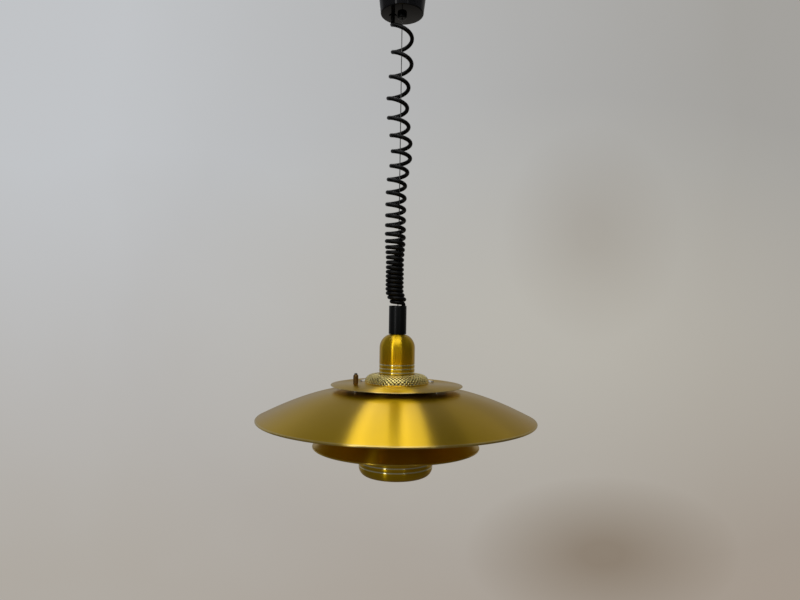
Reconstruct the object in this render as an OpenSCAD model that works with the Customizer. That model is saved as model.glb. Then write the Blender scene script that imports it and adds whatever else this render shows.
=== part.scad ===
// Rise and fall pendant: a black reel housing under the ceiling, a lift wire inside a curly
// cord, and a brass-coloured lamp of a bell, a vent dome, a disc, two shades and a cup.
// Millimetres, +Z up. The origin is the centre of the eye that the ceiling hook goes through.

/* [Reel housing] */
// Height of the housing
housing_h = 118; // [100:1:140]
// Radius of the housing at its open top
housing_top_r = 46; // [43:1:56]
// Radius of the housing at its flat bottom
housing_bottom_r = 31.6; // [31:0.2:42]
// Wall of the housing
housing_wall = 2.2; // [1.6:0.2:3]
// Thickness of the housing's floor
housing_floor = 3; // [2:0.5:5]
// Round of the housing's bottom edge
housing_round = 2.5; // [1:0.5:4]
// How far the housing's rim stands above the eye's centre
eye_depth = 11; // [10:1:20]
// Radius of the hole in the eye
eye_hole_r = 5; // [4:0.5:6]
// Radius of the boss where the wire comes out
guide_boss_r = 7; // [5:0.5:8]
// Height of that boss below the housing
guide_boss_h = 6; // [3:0.5:10]

/* [Reel] */
// Thickness of the frame's steel strap
strap_t = 2; // [1.5:0.5:3]
// Width of the strap
strap_w = 28; // [26:1:30]
// Radius at which the wire lies on the drum
winding_r = 13; // [11:0.5:14]
// Room between the drum's flanges
drum_w = 19; // [14:1:21]
// Thickness of a drum flange
flange_t = 1.5; // [1:0.5:2]
// How far a flange stands above the wound wire
flange_rise = 4.3; // [3:0.1:5]
// Diameter of the drum's axle
axle_d = 6; // [5:0.5:8]
// Height of the axle below the eye
axle_drop = 49; // [46:1:54]
// Axial length of the spring's case
spring_case_w = 8; // [6:0.5:8]
// Radius of the spring's case
spring_case_r = 17; // [15:0.5:18]
// Turns of the flat power spring
spring_turns = 6; // [4:1:7]
// Thickness of the power spring's strip
spring_t = 0.6; // [0.4:0.1:0.8]

/* [Wire and curly cord] */
// Diameter of the lift wire
wire_d = 1.4; // [1:0.1:1.8]
// Distance from the housing down to the sleeve
drop = 430; // [400:5:520]
// Diameter of the curly cord
cord_d = 5.6; // [5:0.1:5.6]
// Number of whole curls
curls = 27; // [25:1:29]
// Pitch of the curls that hang closed
pitch_min = 6.1; // [6.1:0.1:6.6]
// Radius of the closed curls, to the cord's middle
curl_r_low = 10.4; // [10:0.1:12]
// Radius of the curls halfway up
curl_r_mid = 12.6; // [11.5:0.1:13.5]
// Radius of the stretched curls at the top
curl_r_high = 14.6; // [13.6:0.1:15.6]

/* [Sleeve and bell] */
// Height of the black sleeve
sleeve_h = 41.2; // [34:0.2:60]
// Radius of the sleeve
sleeve_r = 12.8; // [12.8:0.1:14]
// Wall of the sleeve
sleeve_wall = 2; // [1.5:0.1:2.2]
// Height of the bell
bell_h = 58; // [57:0.5:70]
// Radius of the bell
bell_r = 25.7; // [25.2:0.1:30]
// Radius of the bell's flat crown
bell_crown_r = 7; // [7:0.5:9]
// Height of the bell's rounded shoulder
bell_shoulder = 20; // [16:1:24]
// Thickness of the spun sheet of bell and dome
spun_t = 1; // [0.8:0.1:1.4]
// Depth of the bright grooves on bell and cup
groove_depth = 0.3; // [0.1:0.1:0.5]
// Width of a bright groove
groove_w = 1.4; // [0.8:0.2:2]
// Distance between grooves
groove_pitch = 6; // [4:0.5:7]

/* [Vent dome and disc] */
// Height of the perforated vent dome
dome_h = 13.2; // [12:0.2:18]
// Radius of the vent dome
dome_r = 46.3; // [44:0.1:47]
// Radius of the disc
disc_r = 95.4; // [84:0.2:110]
// Thickness of the disc
disc_t = 1; // [0.8:0.1:1.4]
// How far the disc's edge hangs below its middle
disc_droop = 2.4; // [0:0.2:3]
// Radius of the disc's middle opening
disc_hole_r = 38; // [32:1:40]
// Radius on which the disc's air slots lie
slot_ring_r = 51; // [50.5:0.1:52]
// Width of an air slot
slot_w = 4.5; // [3:0.5:5]
// Length of an air slot, as an angle
slot_angle = 28; // [20:1:36]
// Diameter of the knob nut
knob_d = 7.9; // [7:0.1:9]
// Height of the knob nut
knob_h = 16; // [12:1:20]

/* [Shades] */
// Radius of the large shade
large_r = 200; // [180:1:230]
// Height of the large shade's curved part
large_h = 39.2; // [32:0.2:50]
// Radius where the large shade's curve begins
large_flat_r = 80; // [78:1:88]
// Gap between the disc and the large shade's top
disc_gap = 8.6; // [6:0.1:14]
// Thickness of the shades' sheet
shade_t = 1; // [0.8:0.1:1.4]
// Radius of the rolled bead on a shade's rim
bead_r = 1.4; // [1.2:0.1:2]
// Radius of the second shade
second_r = 120; // [104:1:135]
// Height of the second shade's curved part
second_h = 24.4; // [16:0.2:30]
// Distance from the large shade's rim down to the second shade's rim
rim_step = 39.2; // [34:0.2:50]
// Radius of the bottom cup
cup_r = 53.3; // [50:0.1:56]
// Radius of the cup's opening at the bottom
cup_mouth_r = 42.6; // [36:0.1:46]
// Height of the cup's inward curve
cup_curve_h = 13; // [8:0.5:18]
// Distance from the second shade's rim down to the cup's bottom
cup_step = 40.1; // [32:0.1:50]

/* [Supports] */
// Radius on which the support rods stand
rod_ring_r = 66; // [62:1:68]
// Diameter of a support rod
rod_d = 4; // [3:0.5:5]
// Outer diameter of the spacer tubes
spacer_d = 8; // [7:0.5:9]
// Thickness of the spacers between disc and reflector
disc_spacer_t = 2; // [1.5:0.1:2.4]
// Radius of the white reflector plate
reflector_r = 74; // [72:1:76]
// Height of the white collar round the bulb
collar_h = 26; // [14:1:34]
// Radius of the white collar
collar_r = 54; // [47:0.5:55]

/* [Lampholder] */
// Diameter of the hollow threaded nipple
nipple_d = 10; // [9:0.5:11]
// Bore of the nipple
nipple_bore = 7.2; // [7:0.1:8]
// Length of the nipple below the bell's crown
nipple_below = 34; // [32:1:40]
// Outer radius of the lampholder's sleeve
holder_r = 20; // [19.4:0.1:20.6]
// Length of the lampholder's plastic cap
holder_cap_h = 28; // [24:1:28]
// Radius of the bulb's screw cap
bulb_cap_r = 13.2; // [13:0.1:13.3]
// Length of the bulb's screw cap
bulb_cap_h = 22; // [20:1:24]
// Radius of the bulb's glass
bulb_r = 30; // [25:1:34]
// Length of the bulb's glass
bulb_glass_h = 82; // [76:1:90]

/* [Hidden] */
$fn = 96;
// Running fit, room round a cord, play between still parts, and room between moving parts
clear = 0.05;
cord_clear = 0.4;
hair = 0.1;
lifted = 0.3;
// How far a cutting shape runs past what it cuts
past = 1;

black = [0.03, 0.03, 0.035];
steel = [0.62, 0.63, 0.65];
brass = [0.72, 0.6, 0.12];
old_brass = [0.42, 0.27, 0.1];
white = [0.93, 0.93, 0.9];
ivory = [0.85, 0.82, 0.72];

// Levels in the housing
housing_top = eye_depth;
housing_low = housing_top - housing_h;
floor_top = housing_low + housing_floor;
boss_h = 7;
boss_wall = 4;
bar_low = floor_top + boss_h;
bar_top = bar_low + strap_t;
eye_below = 17;
plate_top = -eye_below;
plate_low = plate_top - strap_t;
strap_shift = 5;
eye_t = 3;
eye_above = 7;
eye_w = 18;

// The reel's parts along the axle, which lies along Y
axle_x = winding_r;
axle_z = -axle_drop;
drum_half = drum_w / 2;
drum_side = drum_half + flange_t;
case_gap = 0.5;
case_start = drum_side + case_gap;
case_end = case_start + spring_case_w;
leg_plus = case_end + strap_t;
brake_t = 2;
leg_minus = drum_side + brake_t + hair;
case_back_t = 1.2;
case_rim_t = 1.4;
hub_r = 6;
tension_nut_t = 5;
tension_nut_rise = 4;
axle_end = 1;
clip_t = 1.2;
clip_rise = 3;
flange_r = winding_r + wire_d / 2 + flange_rise;
core_r = winding_r - wire_d / 2;

// The wire and the guide
guide_bore_r = wire_d / 2 + cord_clear;
guide_shank_r = 5;
bush_nut_t = 4;
bush_nut_r = 8;
guide_end = 2;
guide_nose = 1.5;
lead_top = axle_z - sqrt(pow(winding_r + wire_d / 2, 2) - pow(winding_r - wire_d / 2 - lifted, 2));

// Levels in the lamp
sleeve_top = housing_low - drop;
crown_z = sleeve_top - sleeve_h;
bell_low = crown_z - bell_h;
disc_z = bell_low - dome_h;
disc_low = disc_z - disc_t;
reflector_z = disc_low - disc_spacer_t;
reflector_low = reflector_z - shade_t;
large_z = disc_low - disc_gap;
large_rim = large_z - large_h - 2 * bead_r;
second_rim = large_rim - rim_step;
second_z = second_rim + 2 * bead_r + second_h;
cup_z = second_z - shade_t;
cup_low = second_rim - cup_step;
large_hole_r = 58;
dome_shoulder = 13.3;
dome_foot_h = 2.5;
dome_room = 2;
second_flat_r = 74;
flange_hole_r = cup_r - 2 * shade_t;
curve_power = 1.54;
groove_from = 4;
cup_groove_from = 1;
cup_flange_in = 2;

// Parts in the sleeve
anchor_low = crown_z + 4;
nipple_top = crown_z + 9;
anchor_top = nipple_top + 4;
ferrule_h = 8;
core_bridge = 0.8;
nut_t = 3;
nut_r = bell_crown_r;
sleeve_lid = 13;
core_hole_r = 1.9;

// The lampholder
holder_drop = 22;
holder_cap_z = crown_z - holder_drop;
holder_top = holder_cap_z - holder_cap_h;
holder_wall = 1.6;
holder_web = 7;
holder_mouth = reflector_low - 11;
holder_neck_r = 9;
holder_neck_h = 12;
holder_skirt = 2;
holder_flange_r = holder_r + 4;
holder_flange_t = 3;
core_low = holder_top - 30;
shell_t = 0.5;
shell_inset = 1;
contact_t = 1.5;
contact_r = 4;
contact_hole_r = 1.5;
ring_h = 7;
ring_r = 26;
bulb_tip_h = 2;
bulb_top = holder_top - holder_web - contact_t;
bulb_cap_low = bulb_top - bulb_tip_h - bulb_cap_h;
bulb_wall = 0.8;
thread_room = 0.2;
shell_r = bulb_cap_r + thread_room;

// Three supports, one of which comes out through the disc under the knob
rod_angles = [90, 210, 330];
knob_angle = rod_angles[1];
slot_angles = [30, 150, 270];
rod_nut_t = 4;
rod_nut_r = 4;
rod_end = 1;

// The curly cord. Its curls are counted from the sleeve up, and k is the count.
rings_per_curl = 8;
cord_sides = 6;
cord_r = cord_d / 2;
lead_in = 3 / rings_per_curl;
entry_r = 8.4;
grip_lip = 1.5;
first_slope = atan(pitch_min / (2 * PI * entry_r));
// The last eighth of a turn before the sleeve bends down into it
low_bend_r = 2 * PI / rings_per_curl * entry_r / (1 - sin(first_slope));
coil_lift = 1;
coil_low = sleeve_top + coil_lift + cord_r + lead_in * pitch_min;
low_bend_z = coil_low - lead_in * pitch_min - low_bend_r * cos(first_slope);
seat_z = low_bend_z - cord_d;
high_bend_r = 9;
grip_z = housing_low - grip_lip;
high_bend_z = grip_z - cord_d;
open_from = 2.9;
open_power = 3.5;
ripple = 3;
ripple_from = 10.5;
ripple_angle = 30;
last_slope = 27;
coil_high = high_bend_z - high_bend_r * cos(last_slope);
exit_turn = high_bend_r / curl_r_high * (1 - sin(last_slope)) * 180 / PI;
exit_angle = 180 - exit_turn;
lean = 5.2;
sway = 3.4;
sway_mid = -1.2;
sway_curls = 5.4;
sway_at = 21;

function smooth(t) = let (u = min(1, max(0, t))) u * u * (3 - 2 * u);

function ripple_at(k) = k > ripple_from ? ripple * sin(ripple_angle * (k - ripple_from)) : 0;

function opening_at(k) = pow(max(0, (k - open_from) / (curls - open_from)), open_power);

coil_rise = coil_high - coil_low - pitch_min * curls + ripple_at(curls);

// Height of the cord's middle at a count of curls: closed curls, then ever wider ones
function curl_z(k) = coil_low + pitch_min * k + coil_rise * opening_at(k) - ripple_at(k);

function curl_r(k) =
    entry_r + (curl_r_low - entry_r) * smooth((k + lead_in) / 1)
    + (curl_r_mid - curl_r_low) * smooth((k - 9) / 5)
    + (curl_r_high - curl_r_mid) * smooth((k - 17) / (curls - 17));

// How far the curls' middle hangs to one side: the closed curls lean, the open ones sway
function side_at(k) =
    let (
        leaning = -lean * smooth((k + lead_in) / 3),
        swaying = sway_mid + sway * cos(360 * (k - sway_at) / sway_curls),
        share = smooth((k - 17) / 2),
        ends = smooth((curls - k) / 1.5)
    )
    ((1 - share) * leaning + share * swaying) * ends;

// A point of the cord's middle, with the direction out of the coil there
function curl_point(k) =
    let (a = 180 - 360 * k, r = curl_r(k))
    [[side_at(k) + r * cos(a), r * sin(a), curl_z(k)], a];

function low_bend(t) =
    let (a = 360 - low_bend_r / entry_r * (1 - sin(t)) * 180 / PI)
    [[entry_r * cos(a), entry_r * sin(a), low_bend_z + low_bend_r * cos(t)], a];

function high_bend(t) =
    let (a = exit_angle + high_bend_r / curl_r_high * (1 - sin(t)) * 180 / PI)
    [[curl_r_high * cos(a), curl_r_high * sin(a), high_bend_z - high_bend_r * cos(t)], a];

curl_count = (curls + lead_in) * rings_per_curl;

cord_route = concat(
    [[[entry_r, 0, seat_z], 360]],
    [for (t = [90, 66, 44, 24]) low_bend(t)],
    [for (i = [0 : curl_count]) curl_point(i / rings_per_curl - lead_in)],
    [for (t = [45, 62, 78, 90]) high_bend(t)],
    [[[curl_r_high * cos(exit_angle), curl_r_high * sin(exit_angle), grip_z], exit_angle]]
);

function unit(v) = v / norm(v);

function ring_at(route, i) =
    let (
        n = len(route),
        p = route[i][0],
        t = i == 0 ? [0, 0, 1] : i == n - 1 ? [0, 0, 1] : unit(route[i + 1][0] - route[i - 1][0]),
        out = [cos(route[i][1]), sin(route[i][1]), 0],
        u = unit(out - (out * t) * t),
        v = cross(t, u)
    )
    [for (s = [0 : cord_sides - 1])
        p + cord_r * (cos(360 * s / cord_sides) * u + sin(360 * s / cord_sides) * v)];

// Least distance between two stretches of the cord that lie about a curl apart, less its diameter
function least_gap(route) =
    let (n = len(route))
    min([for (i = [0 : n - 1])
        min(concat([1000], [for (j = [i + 5 : min(n - 1, i + 12)])
            norm(route[i][0] - route[j][0])]))]) - cord_d;

cord_gap = least_gap(cord_route);
cord_steps = [for (i = [1 : len(cord_route) - 1])
    norm(cord_route[i][0] - cord_route[i - 1][0])];
cord_length = cord_steps * [for (step = cord_steps) 1];

// Closed tube of triangles along a route
module tube(route) {
    n = len(route);
    s = cord_sides;
    points = [for (i = [0 : n - 1]) each ring_at(route, i)];
    walls = [for (i = [0 : n - 2]) for (j = [0 : s - 1])
        let (a = i * s + j, b = i * s + (j + 1) % s) each [[a, a + s, b], [b, a + s, b + s]]];
    low_end = [for (j = [1 : s - 2]) [0, j, j + 1]];
    high_end = [for (j = [1 : s - 2]) [(n - 1) * s, (n - 1) * s + j + 1, (n - 1) * s + j]];
    polyhedron(points = points, faces = concat(walls, low_end, high_end));
}

// Cylinder along Y from y0 to y1 at the drum's axle
module on_axle(y0, y1, r, hole = 0) {
    translate([axle_x, y0, axle_z])
        rotate([-90, 0, 0])
            difference() {
                cylinder(r = r, h = y1 - y0);
                if (hole > 0)
                    translate([0, 0, -past])
                        cylinder(r = hole, h = y1 - y0 + 2 * past);
            }
}

// Ring or disc on the lamp's own axis, between two levels
module ring(z0, z1, r, hole = 0) {
    translate([0, 0, z0])
        difference() {
            cylinder(r = r, h = z1 - z0);
            if (hole > 0)
                translate([0, 0, -past])
                    cylinder(r = hole, h = z1 - z0 + 2 * past);
        }
}

module at_rods(angles = rod_angles) {
    for (a = angles)
        rotate([0, 0, a])
            translate([rod_ring_r, 0, 0])
                children();
}

// Points of an arc in the plane
function arc(cx, cy, rx, ry, a0, a1, steps) =
    [for (i = [0 : steps])
        let (a = a0 + (a1 - a0) * i / steps) [cx + rx * cos(a), cy + ry * sin(a)]];

// Outline of a V groove in an upright wall at radius r, walked downwards
function groove(r, z) = [
    [r, z + groove_w / 2],
    [r - groove_depth, z],
    [r, z - groove_w / 2]
];

// Radius of the housing's outside at a level
function housing_r(z) =
    housing_bottom_r + (housing_top_r - housing_bottom_r) * (z - housing_low) / housing_h;

grip_at = [curl_r_high * cos(exit_angle), curl_r_high * sin(exit_angle)];
grip_shank_r = 4.6;
grip_r = 5.8;
grip_head_t = 2.5;
grip_bore_r = 2;

module housing_cup() {
    corner = arc(housing_bottom_r - housing_round, housing_low + housing_round,
        housing_round, housing_round, -90, 0, 6);
    color(black)
        difference() {
            rotate_extrude()
                polygon(concat(
                    [[guide_shank_r + clear, housing_low]],
                    corner,
                    [[housing_top_r, housing_top],
                     [housing_top_r - housing_wall, housing_top],
                     [housing_r(floor_top) - housing_wall, floor_top],
                     [guide_shank_r + boss_wall, floor_top],
                     [guide_shank_r + boss_wall, bar_low],
                     [guide_shank_r + clear, bar_low]]
                ));
            translate([grip_at[0], grip_at[1], housing_low - past])
                cylinder(r = grip_shank_r + clear, h = housing_floor + 2 * past);
            translate([grip_at[0], grip_at[1], floor_top])
                cylinder(r = grip_r + hair, h = boss_h + past);
        }
}

module strap_leg(y) {
    difference() {
        translate([strap_shift - strap_w / 2, y, bar_low])
            cube([strap_w, strap_t, plate_top - bar_low]);
        translate([axle_x, y - past, axle_z])
            rotate([-90, 0, 0])
                cylinder(d = axle_d + 2 * clear, h = strap_t + 2 * past);
    }
}

module reel_frame() {
    span = leg_plus + leg_minus + strap_t;
    color(steel) {
        strap_leg(case_end);
        strap_leg(-leg_minus - strap_t);
        translate([strap_shift - strap_w / 2, -leg_minus - strap_t, plate_low])
            cube([strap_w, span, strap_t]);
        difference() {
            translate([strap_shift - strap_w / 2, -leg_minus - strap_t, bar_low])
                cube([strap_w, span, strap_t]);
            translate([0, 0, bar_low - past])
                cylinder(r = guide_shank_r + clear, h = strap_t + 2 * past);
            translate([grip_at[0], grip_at[1], bar_low - past])
                cylinder(r = grip_r + lifted, h = strap_t + 2 * past);
        }
    }
}

module hook_eye() {
    color(steel)
        difference() {
            translate([0, -eye_t / 2, 0])
                rotate([-90, 0, 0])
                    linear_extrude(eye_t)
                        polygon(concat(
                            [[-eye_w / 2, eye_below]],
                            arc(0, eye_w / 2 - eye_above, eye_w / 2, eye_w / 2, 180, 360, 24),
                            [[eye_w / 2, eye_below]]
                        ));
            translate([0, -eye_t, 0])
                rotate([-90, 0, 0])
                    cylinder(r = eye_hole_r, h = 2 * eye_t);
        }
}

module drum_axle() {
    color(steel)
        on_axle(-leg_minus - strap_t - tension_nut_t - axle_end, leg_plus + clip_t + axle_end, axle_d / 2);
}

module axle_clip() {
    color(steel)
        on_axle(leg_plus, leg_plus + clip_t, axle_d / 2 + clip_rise, axle_d / 2 + clear);
}

module tension_nut() {
    y = -leg_minus - strap_t;
    color(old_brass)
        on_axle(y - tension_nut_t, y, axle_d / 2 + tension_nut_rise, axle_d / 2 + clear);
}

module brake_washer() {
    color(ivory)
        on_axle(-leg_minus, -leg_minus + brake_t, winding_r, axle_d / 2 + clear);
}

module wire_drum() {
    bore = axle_d / 2 + clear;
    color(ivory)
        difference() {
            union() {
                on_axle(-drum_side, -drum_half, flange_r);
                on_axle(-drum_half, drum_half, core_r);
                on_axle(drum_half, drum_side, flange_r);
                on_axle(drum_side, case_end - case_back_t - lifted, hub_r);
            }
            on_axle(-drum_side - past, case_end, bore);
        }
}

module drum_winding() {
    color(steel)
        on_axle(-drum_half, drum_half, winding_r + wire_d / 2, core_r);
}

module spring_case() {
    color(steel)
        difference() {
            on_axle(case_start, case_end, spring_case_r);
            on_axle(case_start - past, case_end - case_back_t, spring_case_r - case_rim_t);
            on_axle(case_start, case_end + past, axle_d / 2 + clear);
        }
}

// Flat strip wound outwards at a steady rate, its last turn against the case
module power_spring() {
    inner = hub_r + lifted;
    outer = spring_case_r - case_rim_t - spring_t - 2 * clear;
    steps_per_turn = 20;
    steps = spring_turns * steps_per_turn;
    function radius(i) = inner + (outer - inner) * i / steps;
    function at(i, more) =
        let (a = 360 * i / steps_per_turn)
        [(radius(i) + more) * cos(a), (radius(i) + more) * sin(a)];
    color(steel)
        translate([axle_x, case_start + lifted, axle_z])
            rotate([-90, 0, 0])
                linear_extrude(spring_case_w - case_back_t - 2 * lifted)
                    polygon(concat(
                        [for (i = [0 : steps]) at(i, 0)],
                        [for (i = [steps : -1 : 0]) at(i, spring_t)]
                    ));
}

block_x = 20;
block_y = 12;
block_h = 10;
block_from = eye_t / 2 + 1.5;
pole_pitch = 6;
screw_hole_r = 1.6;
screw_hole_depth = 5;
screw_h = 4;
screw_slot = 0.6;

screw_low = plate_top + block_h - screw_hole_depth;

module terminal_block() {
    color(ivory)
        difference() {
            translate([-block_x / 2, block_from, plate_top])
                cube([block_x, block_y, block_h]);
            for (i = [-1 : 1])
                translate([i * pole_pitch, block_from + block_y / 2, screw_low])
                    cylinder(r = screw_hole_r, h = screw_hole_depth + past);
        }
}

module terminal_screws() {
    color(steel)
        for (i = [-1 : 1])
            translate([i * pole_pitch, block_from + block_y / 2, screw_low])
                difference() {
                    cylinder(r = screw_hole_r - clear, h = screw_h);
                    translate([-screw_hole_r, -screw_slot / 2, screw_h - screw_slot])
                        cube([2 * screw_hole_r, screw_slot, screw_slot + past]);
                }
}

supply_bore_r = 3.5;
supply_y = -7.5;
supply_w = 11;

module supply_grip() {
    color(black)
        difference() {
            translate([-supply_w / 2, supply_y - supply_w / 2, plate_top])
                cube([supply_w, supply_w, block_h]);
            translate([0, supply_y, plate_top - past])
                cylinder(r = supply_bore_r, h = block_h + 2 * past);
        }
}

module guide_bush() {
    top = bar_top + bush_nut_t + guide_end;
    color(black)
        rotate_extrude()
            polygon(concat(
                [[guide_bore_r, housing_low - guide_boss_h]],
                arc(guide_boss_r - guide_nose, housing_low - guide_boss_h + guide_nose,
                    guide_nose, guide_nose, -90, 0, 5),
                [[guide_boss_r, housing_low],
                 [guide_shank_r, housing_low],
                 [guide_shank_r, top],
                 [guide_bore_r, top]]
            ));
}

module bush_nut() {
    color(steel)
        translate([0, 0, bar_top])
            difference() {
                cylinder(r = bush_nut_r, h = bush_nut_t, $fn = 6);
                translate([0, 0, -past])
                    cylinder(r = guide_shank_r + clear, h = bush_nut_t + 2 * past);
            }
}

module cord_grip() {
    color(black)
        translate([grip_at[0], grip_at[1], 0])
            difference() {
                union() {
                    translate([0, 0, grip_z])
                        cylinder(r = grip_r, h = grip_lip);
                    translate([0, 0, housing_low])
                        cylinder(r = grip_shank_r, h = housing_floor);
                    translate([0, 0, floor_top])
                        cylinder(r = grip_r, h = grip_head_t);
                }
                translate([0, 0, grip_z - past])
                    cylinder(r = grip_bore_r, h = grip_lip + housing_floor + grip_head_t + 2 * past);
            }
}

module lift_wire() {
    color(steel)
        translate([0, 0, nipple_top + clear])
            cylinder(d = wire_d, h = lead_top - nipple_top - clear);
}

module wire_ferrule() {
    color(old_brass)
        ring(nipple_top + clear - ferrule_h, nipple_top + clear, nipple_bore / 2 - hair);
}

module wire_anchor() {
    color(steel)
        difference() {
            ring(anchor_low, anchor_top, sleeve_r - sleeve_wall - hair, wire_d / 2 + hair);
            ring(anchor_low - past, nipple_top + clear, nipple_d / 2 + clear);
            translate([nipple_d / 2 + core_hole_r + core_bridge, 0, anchor_low - past])
                cylinder(r = core_hole_r, h = anchor_top - anchor_low + 2 * past);
        }
}

module curly_cord() {
    color(black)
        tube(cord_route);
}

cord_hole_r = cord_r + cord_clear;
mouth_shift = 2;
mouth_depth = 3.4;
sleeve_chamfer = 0.9;

module cord_sleeve() {
    inner = sleeve_r - sleeve_wall;
    color(black)
        difference() {
            rotate_extrude()
                polygon([
                    [wire_d / 2 + cord_clear, sleeve_top],
                    [sleeve_r - sleeve_chamfer, sleeve_top],
                    [sleeve_r, sleeve_top - sleeve_chamfer],
                    [sleeve_r, crown_z],
                    [inner, crown_z],
                    [inner, sleeve_top - sleeve_lid],
                    [wire_d / 2 + cord_clear, sleeve_top - sleeve_lid]
                ]);
            translate([entry_r, 0, seat_z])
                cylinder(r = cord_hole_r, h = sleeve_top - seat_z + past);
            translate([entry_r, -mouth_shift, sleeve_top - mouth_depth])
                cylinder(r = cord_hole_r, h = mouth_depth + past);
            translate([entry_r - cord_hole_r, -mouth_shift, sleeve_top - mouth_depth])
                cube([2 * cord_hole_r, mouth_shift, mouth_depth + past]);
            translate([entry_r, 0, sleeve_top - sleeve_lid - past])
                cylinder(r = core_hole_r, h = sleeve_lid);
        }
}

module nipple() {
    color(steel)
        ring(crown_z - nipple_below, nipple_top, nipple_d / 2, nipple_bore / 2);
}

module nipple_nuts() {
    color(steel)
        for (z = [crown_z, crown_z - spun_t - nut_t])
            translate([0, 0, z])
                difference() {
                    cylinder(r = nut_r, h = nut_t, $fn = 6);
                    translate([0, 0, -past])
                        cylinder(d = nipple_d + 2 * clear, h = nut_t + 2 * past);
                }
}

module bell_cover() {
    a = bell_r - bell_crown_r;
    b = bell_shoulder;
    cz = crown_z - b;
    hole = nipple_d / 2 + hair;
    first = bell_low + groove_from;
    color(brass)
        rotate_extrude()
            polygon(concat(
                [[hole, crown_z]],
                arc(bell_crown_r, cz, a, b, 90, 0, 18),
                [for (i = [2 : -1 : 0]) each groove(bell_r, first + i * groove_pitch)],
                [[bell_r, bell_low],
                 [bell_r - spun_t, bell_low]],
                arc(bell_crown_r, cz, a - spun_t, b - spun_t, 0, 90, 18),
                [[hole, crown_z - spun_t]]
            ));
}

module holder_cap() {
    r = holder_neck_r;
    shoulder = holder_cap_z - holder_neck_h;
    rise = shoulder - holder_top - holder_skirt;
    inner = nipple_d / 2 + clear;
    color(black)
        rotate_extrude()
            polygon(concat(
                [[inner, holder_cap_z],
                 [r, holder_cap_z],
                 [r, shoulder]],
                arc(r, holder_top, holder_r - r, rise, 80, 0, 8),
                [[holder_r - holder_skirt, holder_top],
                 [holder_r - holder_skirt, holder_top + 2 * holder_skirt],
                 [r + holder_skirt / 2, shoulder - holder_skirt / 2],
                 [inner, shoulder - holder_skirt / 2]]
            ));
}

module holder_core() {
    r = holder_r - holder_wall - hair;
    color(ivory)
        difference() {
            ring(core_low, holder_top, r, contact_hole_r);
            ring(core_low - past, holder_top - holder_web, shell_r + shell_t + clear);
        }
}

module thread_shell() {
    color(brass)
        ring(core_low + shell_inset, holder_top - holder_web, shell_r + shell_t, shell_r);
}

module centre_contact() {
    color(brass)
        ring(bulb_top, holder_top - holder_web, contact_r, contact_hole_r);
}

module holder_sleeve() {
    color(black)
        rotate_extrude()
            polygon([
                [holder_r - holder_wall, holder_mouth],
                [holder_r, holder_mouth],
                [holder_r, reflector_z],
                [holder_flange_r, reflector_z],
                [holder_flange_r, reflector_z + holder_flange_t],
                [holder_r, reflector_z + holder_flange_t],
                [holder_r, holder_top],
                [holder_r - holder_wall, holder_top]
            ]);
}

module shade_ring() {
    color(black)
        ring(reflector_low - ring_h, reflector_low, ring_r, holder_r + hair);
}

// Shell that comes level out from under the bell and rounds down onto the disc
module vent_dome() {
    flat_r = dome_r - dome_shoulder;
    inner = holder_r + dome_room;
    t = spun_t * 0.8;
    a = dome_r - flat_r;
    b = dome_h - dome_foot_h;
    color(brass)
        rotate_extrude()
            polygon(concat(
                [[inner, bell_low]],
                arc(flat_r, bell_low - b, a, b, 90, 0, 14),
                [[dome_r, disc_z],
                 [dome_r - t, disc_z]],
                arc(flat_r, bell_low - b, a - t, b - t, 0, 90, 14),
                [[inner, bell_low - t]]
            ));
}

// The disc is level in the middle and droops to its edge on a parabola
disc_level_r = 72;

function disc_edge_z(r) =
    disc_z - disc_droop * pow(max(0, (r - disc_level_r) / (disc_r - disc_level_r)), 2);

module air_slot(angle) {
    r0 = slot_ring_r - slot_w / 2;
    r1 = slot_ring_r + slot_w / 2;
    translate([0, 0, disc_low - past])
        linear_extrude(disc_t + 2 * past)
            polygon(concat(
                arc(0, 0, r1, r1, angle - slot_angle / 2, angle + slot_angle / 2, 8),
                arc(0, 0, r0, r0, angle + slot_angle / 2, angle - slot_angle / 2, 8)
            ));
}

module top_disc() {
    lip = disc_t * 0.9;
    steps = 8;
    end_r = disc_r - lip;
    radii = [for (i = [0 : steps]) disc_level_r + (end_r - disc_level_r) * i / steps];
    color(brass)
        difference() {
            rotate_extrude()
                polygon(concat(
                    [[disc_hole_r, disc_z]],
                    [for (r = radii) [r, disc_edge_z(r)]],
                    arc(end_r, disc_edge_z(end_r) - lip, lip, lip, 60, -90, 6),
                    [for (i = [steps : -1 : 0]) [radii[i], disc_edge_z(radii[i]) - disc_t]],
                    [[disc_hole_r, disc_low]]
                ));
            for (a = slot_angles)
                air_slot(a);
            at_rods([knob_angle])
                translate([0, 0, disc_low - past])
                    cylinder(d = rod_d + 2 * hair, h = disc_t + 2 * past);
        }
}

// Round nut with a domed end and a bore for the rod
module knob_nut() {
    dome = 3;
    bore = rod_d / 2 + clear;
    color(old_brass)
        at_rods([knob_angle])
            translate([0, 0, disc_z])
                rotate_extrude()
                    polygon(concat(
                        [[bore, 0], [knob_d / 2, 0]],
                        arc(0, knob_h - dome, knob_d / 2, dome, 0, 50, 5),
                        [[bore, knob_h - 0.4]]
                    ));
}

module disc_spacers() {
    color(steel)
        at_rods()
            difference() {
                translate([0, 0, reflector_z])
                    cylinder(d = spacer_d, h = disc_spacer_t);
                translate([0, 0, reflector_z - past])
                    cylinder(d = rod_d + 2 * clear, h = disc_spacer_t + 2 * past);
            }
}

vent_hole_r = 5;
vent_ring_r = 32;
vent_holes = 8;

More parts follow.
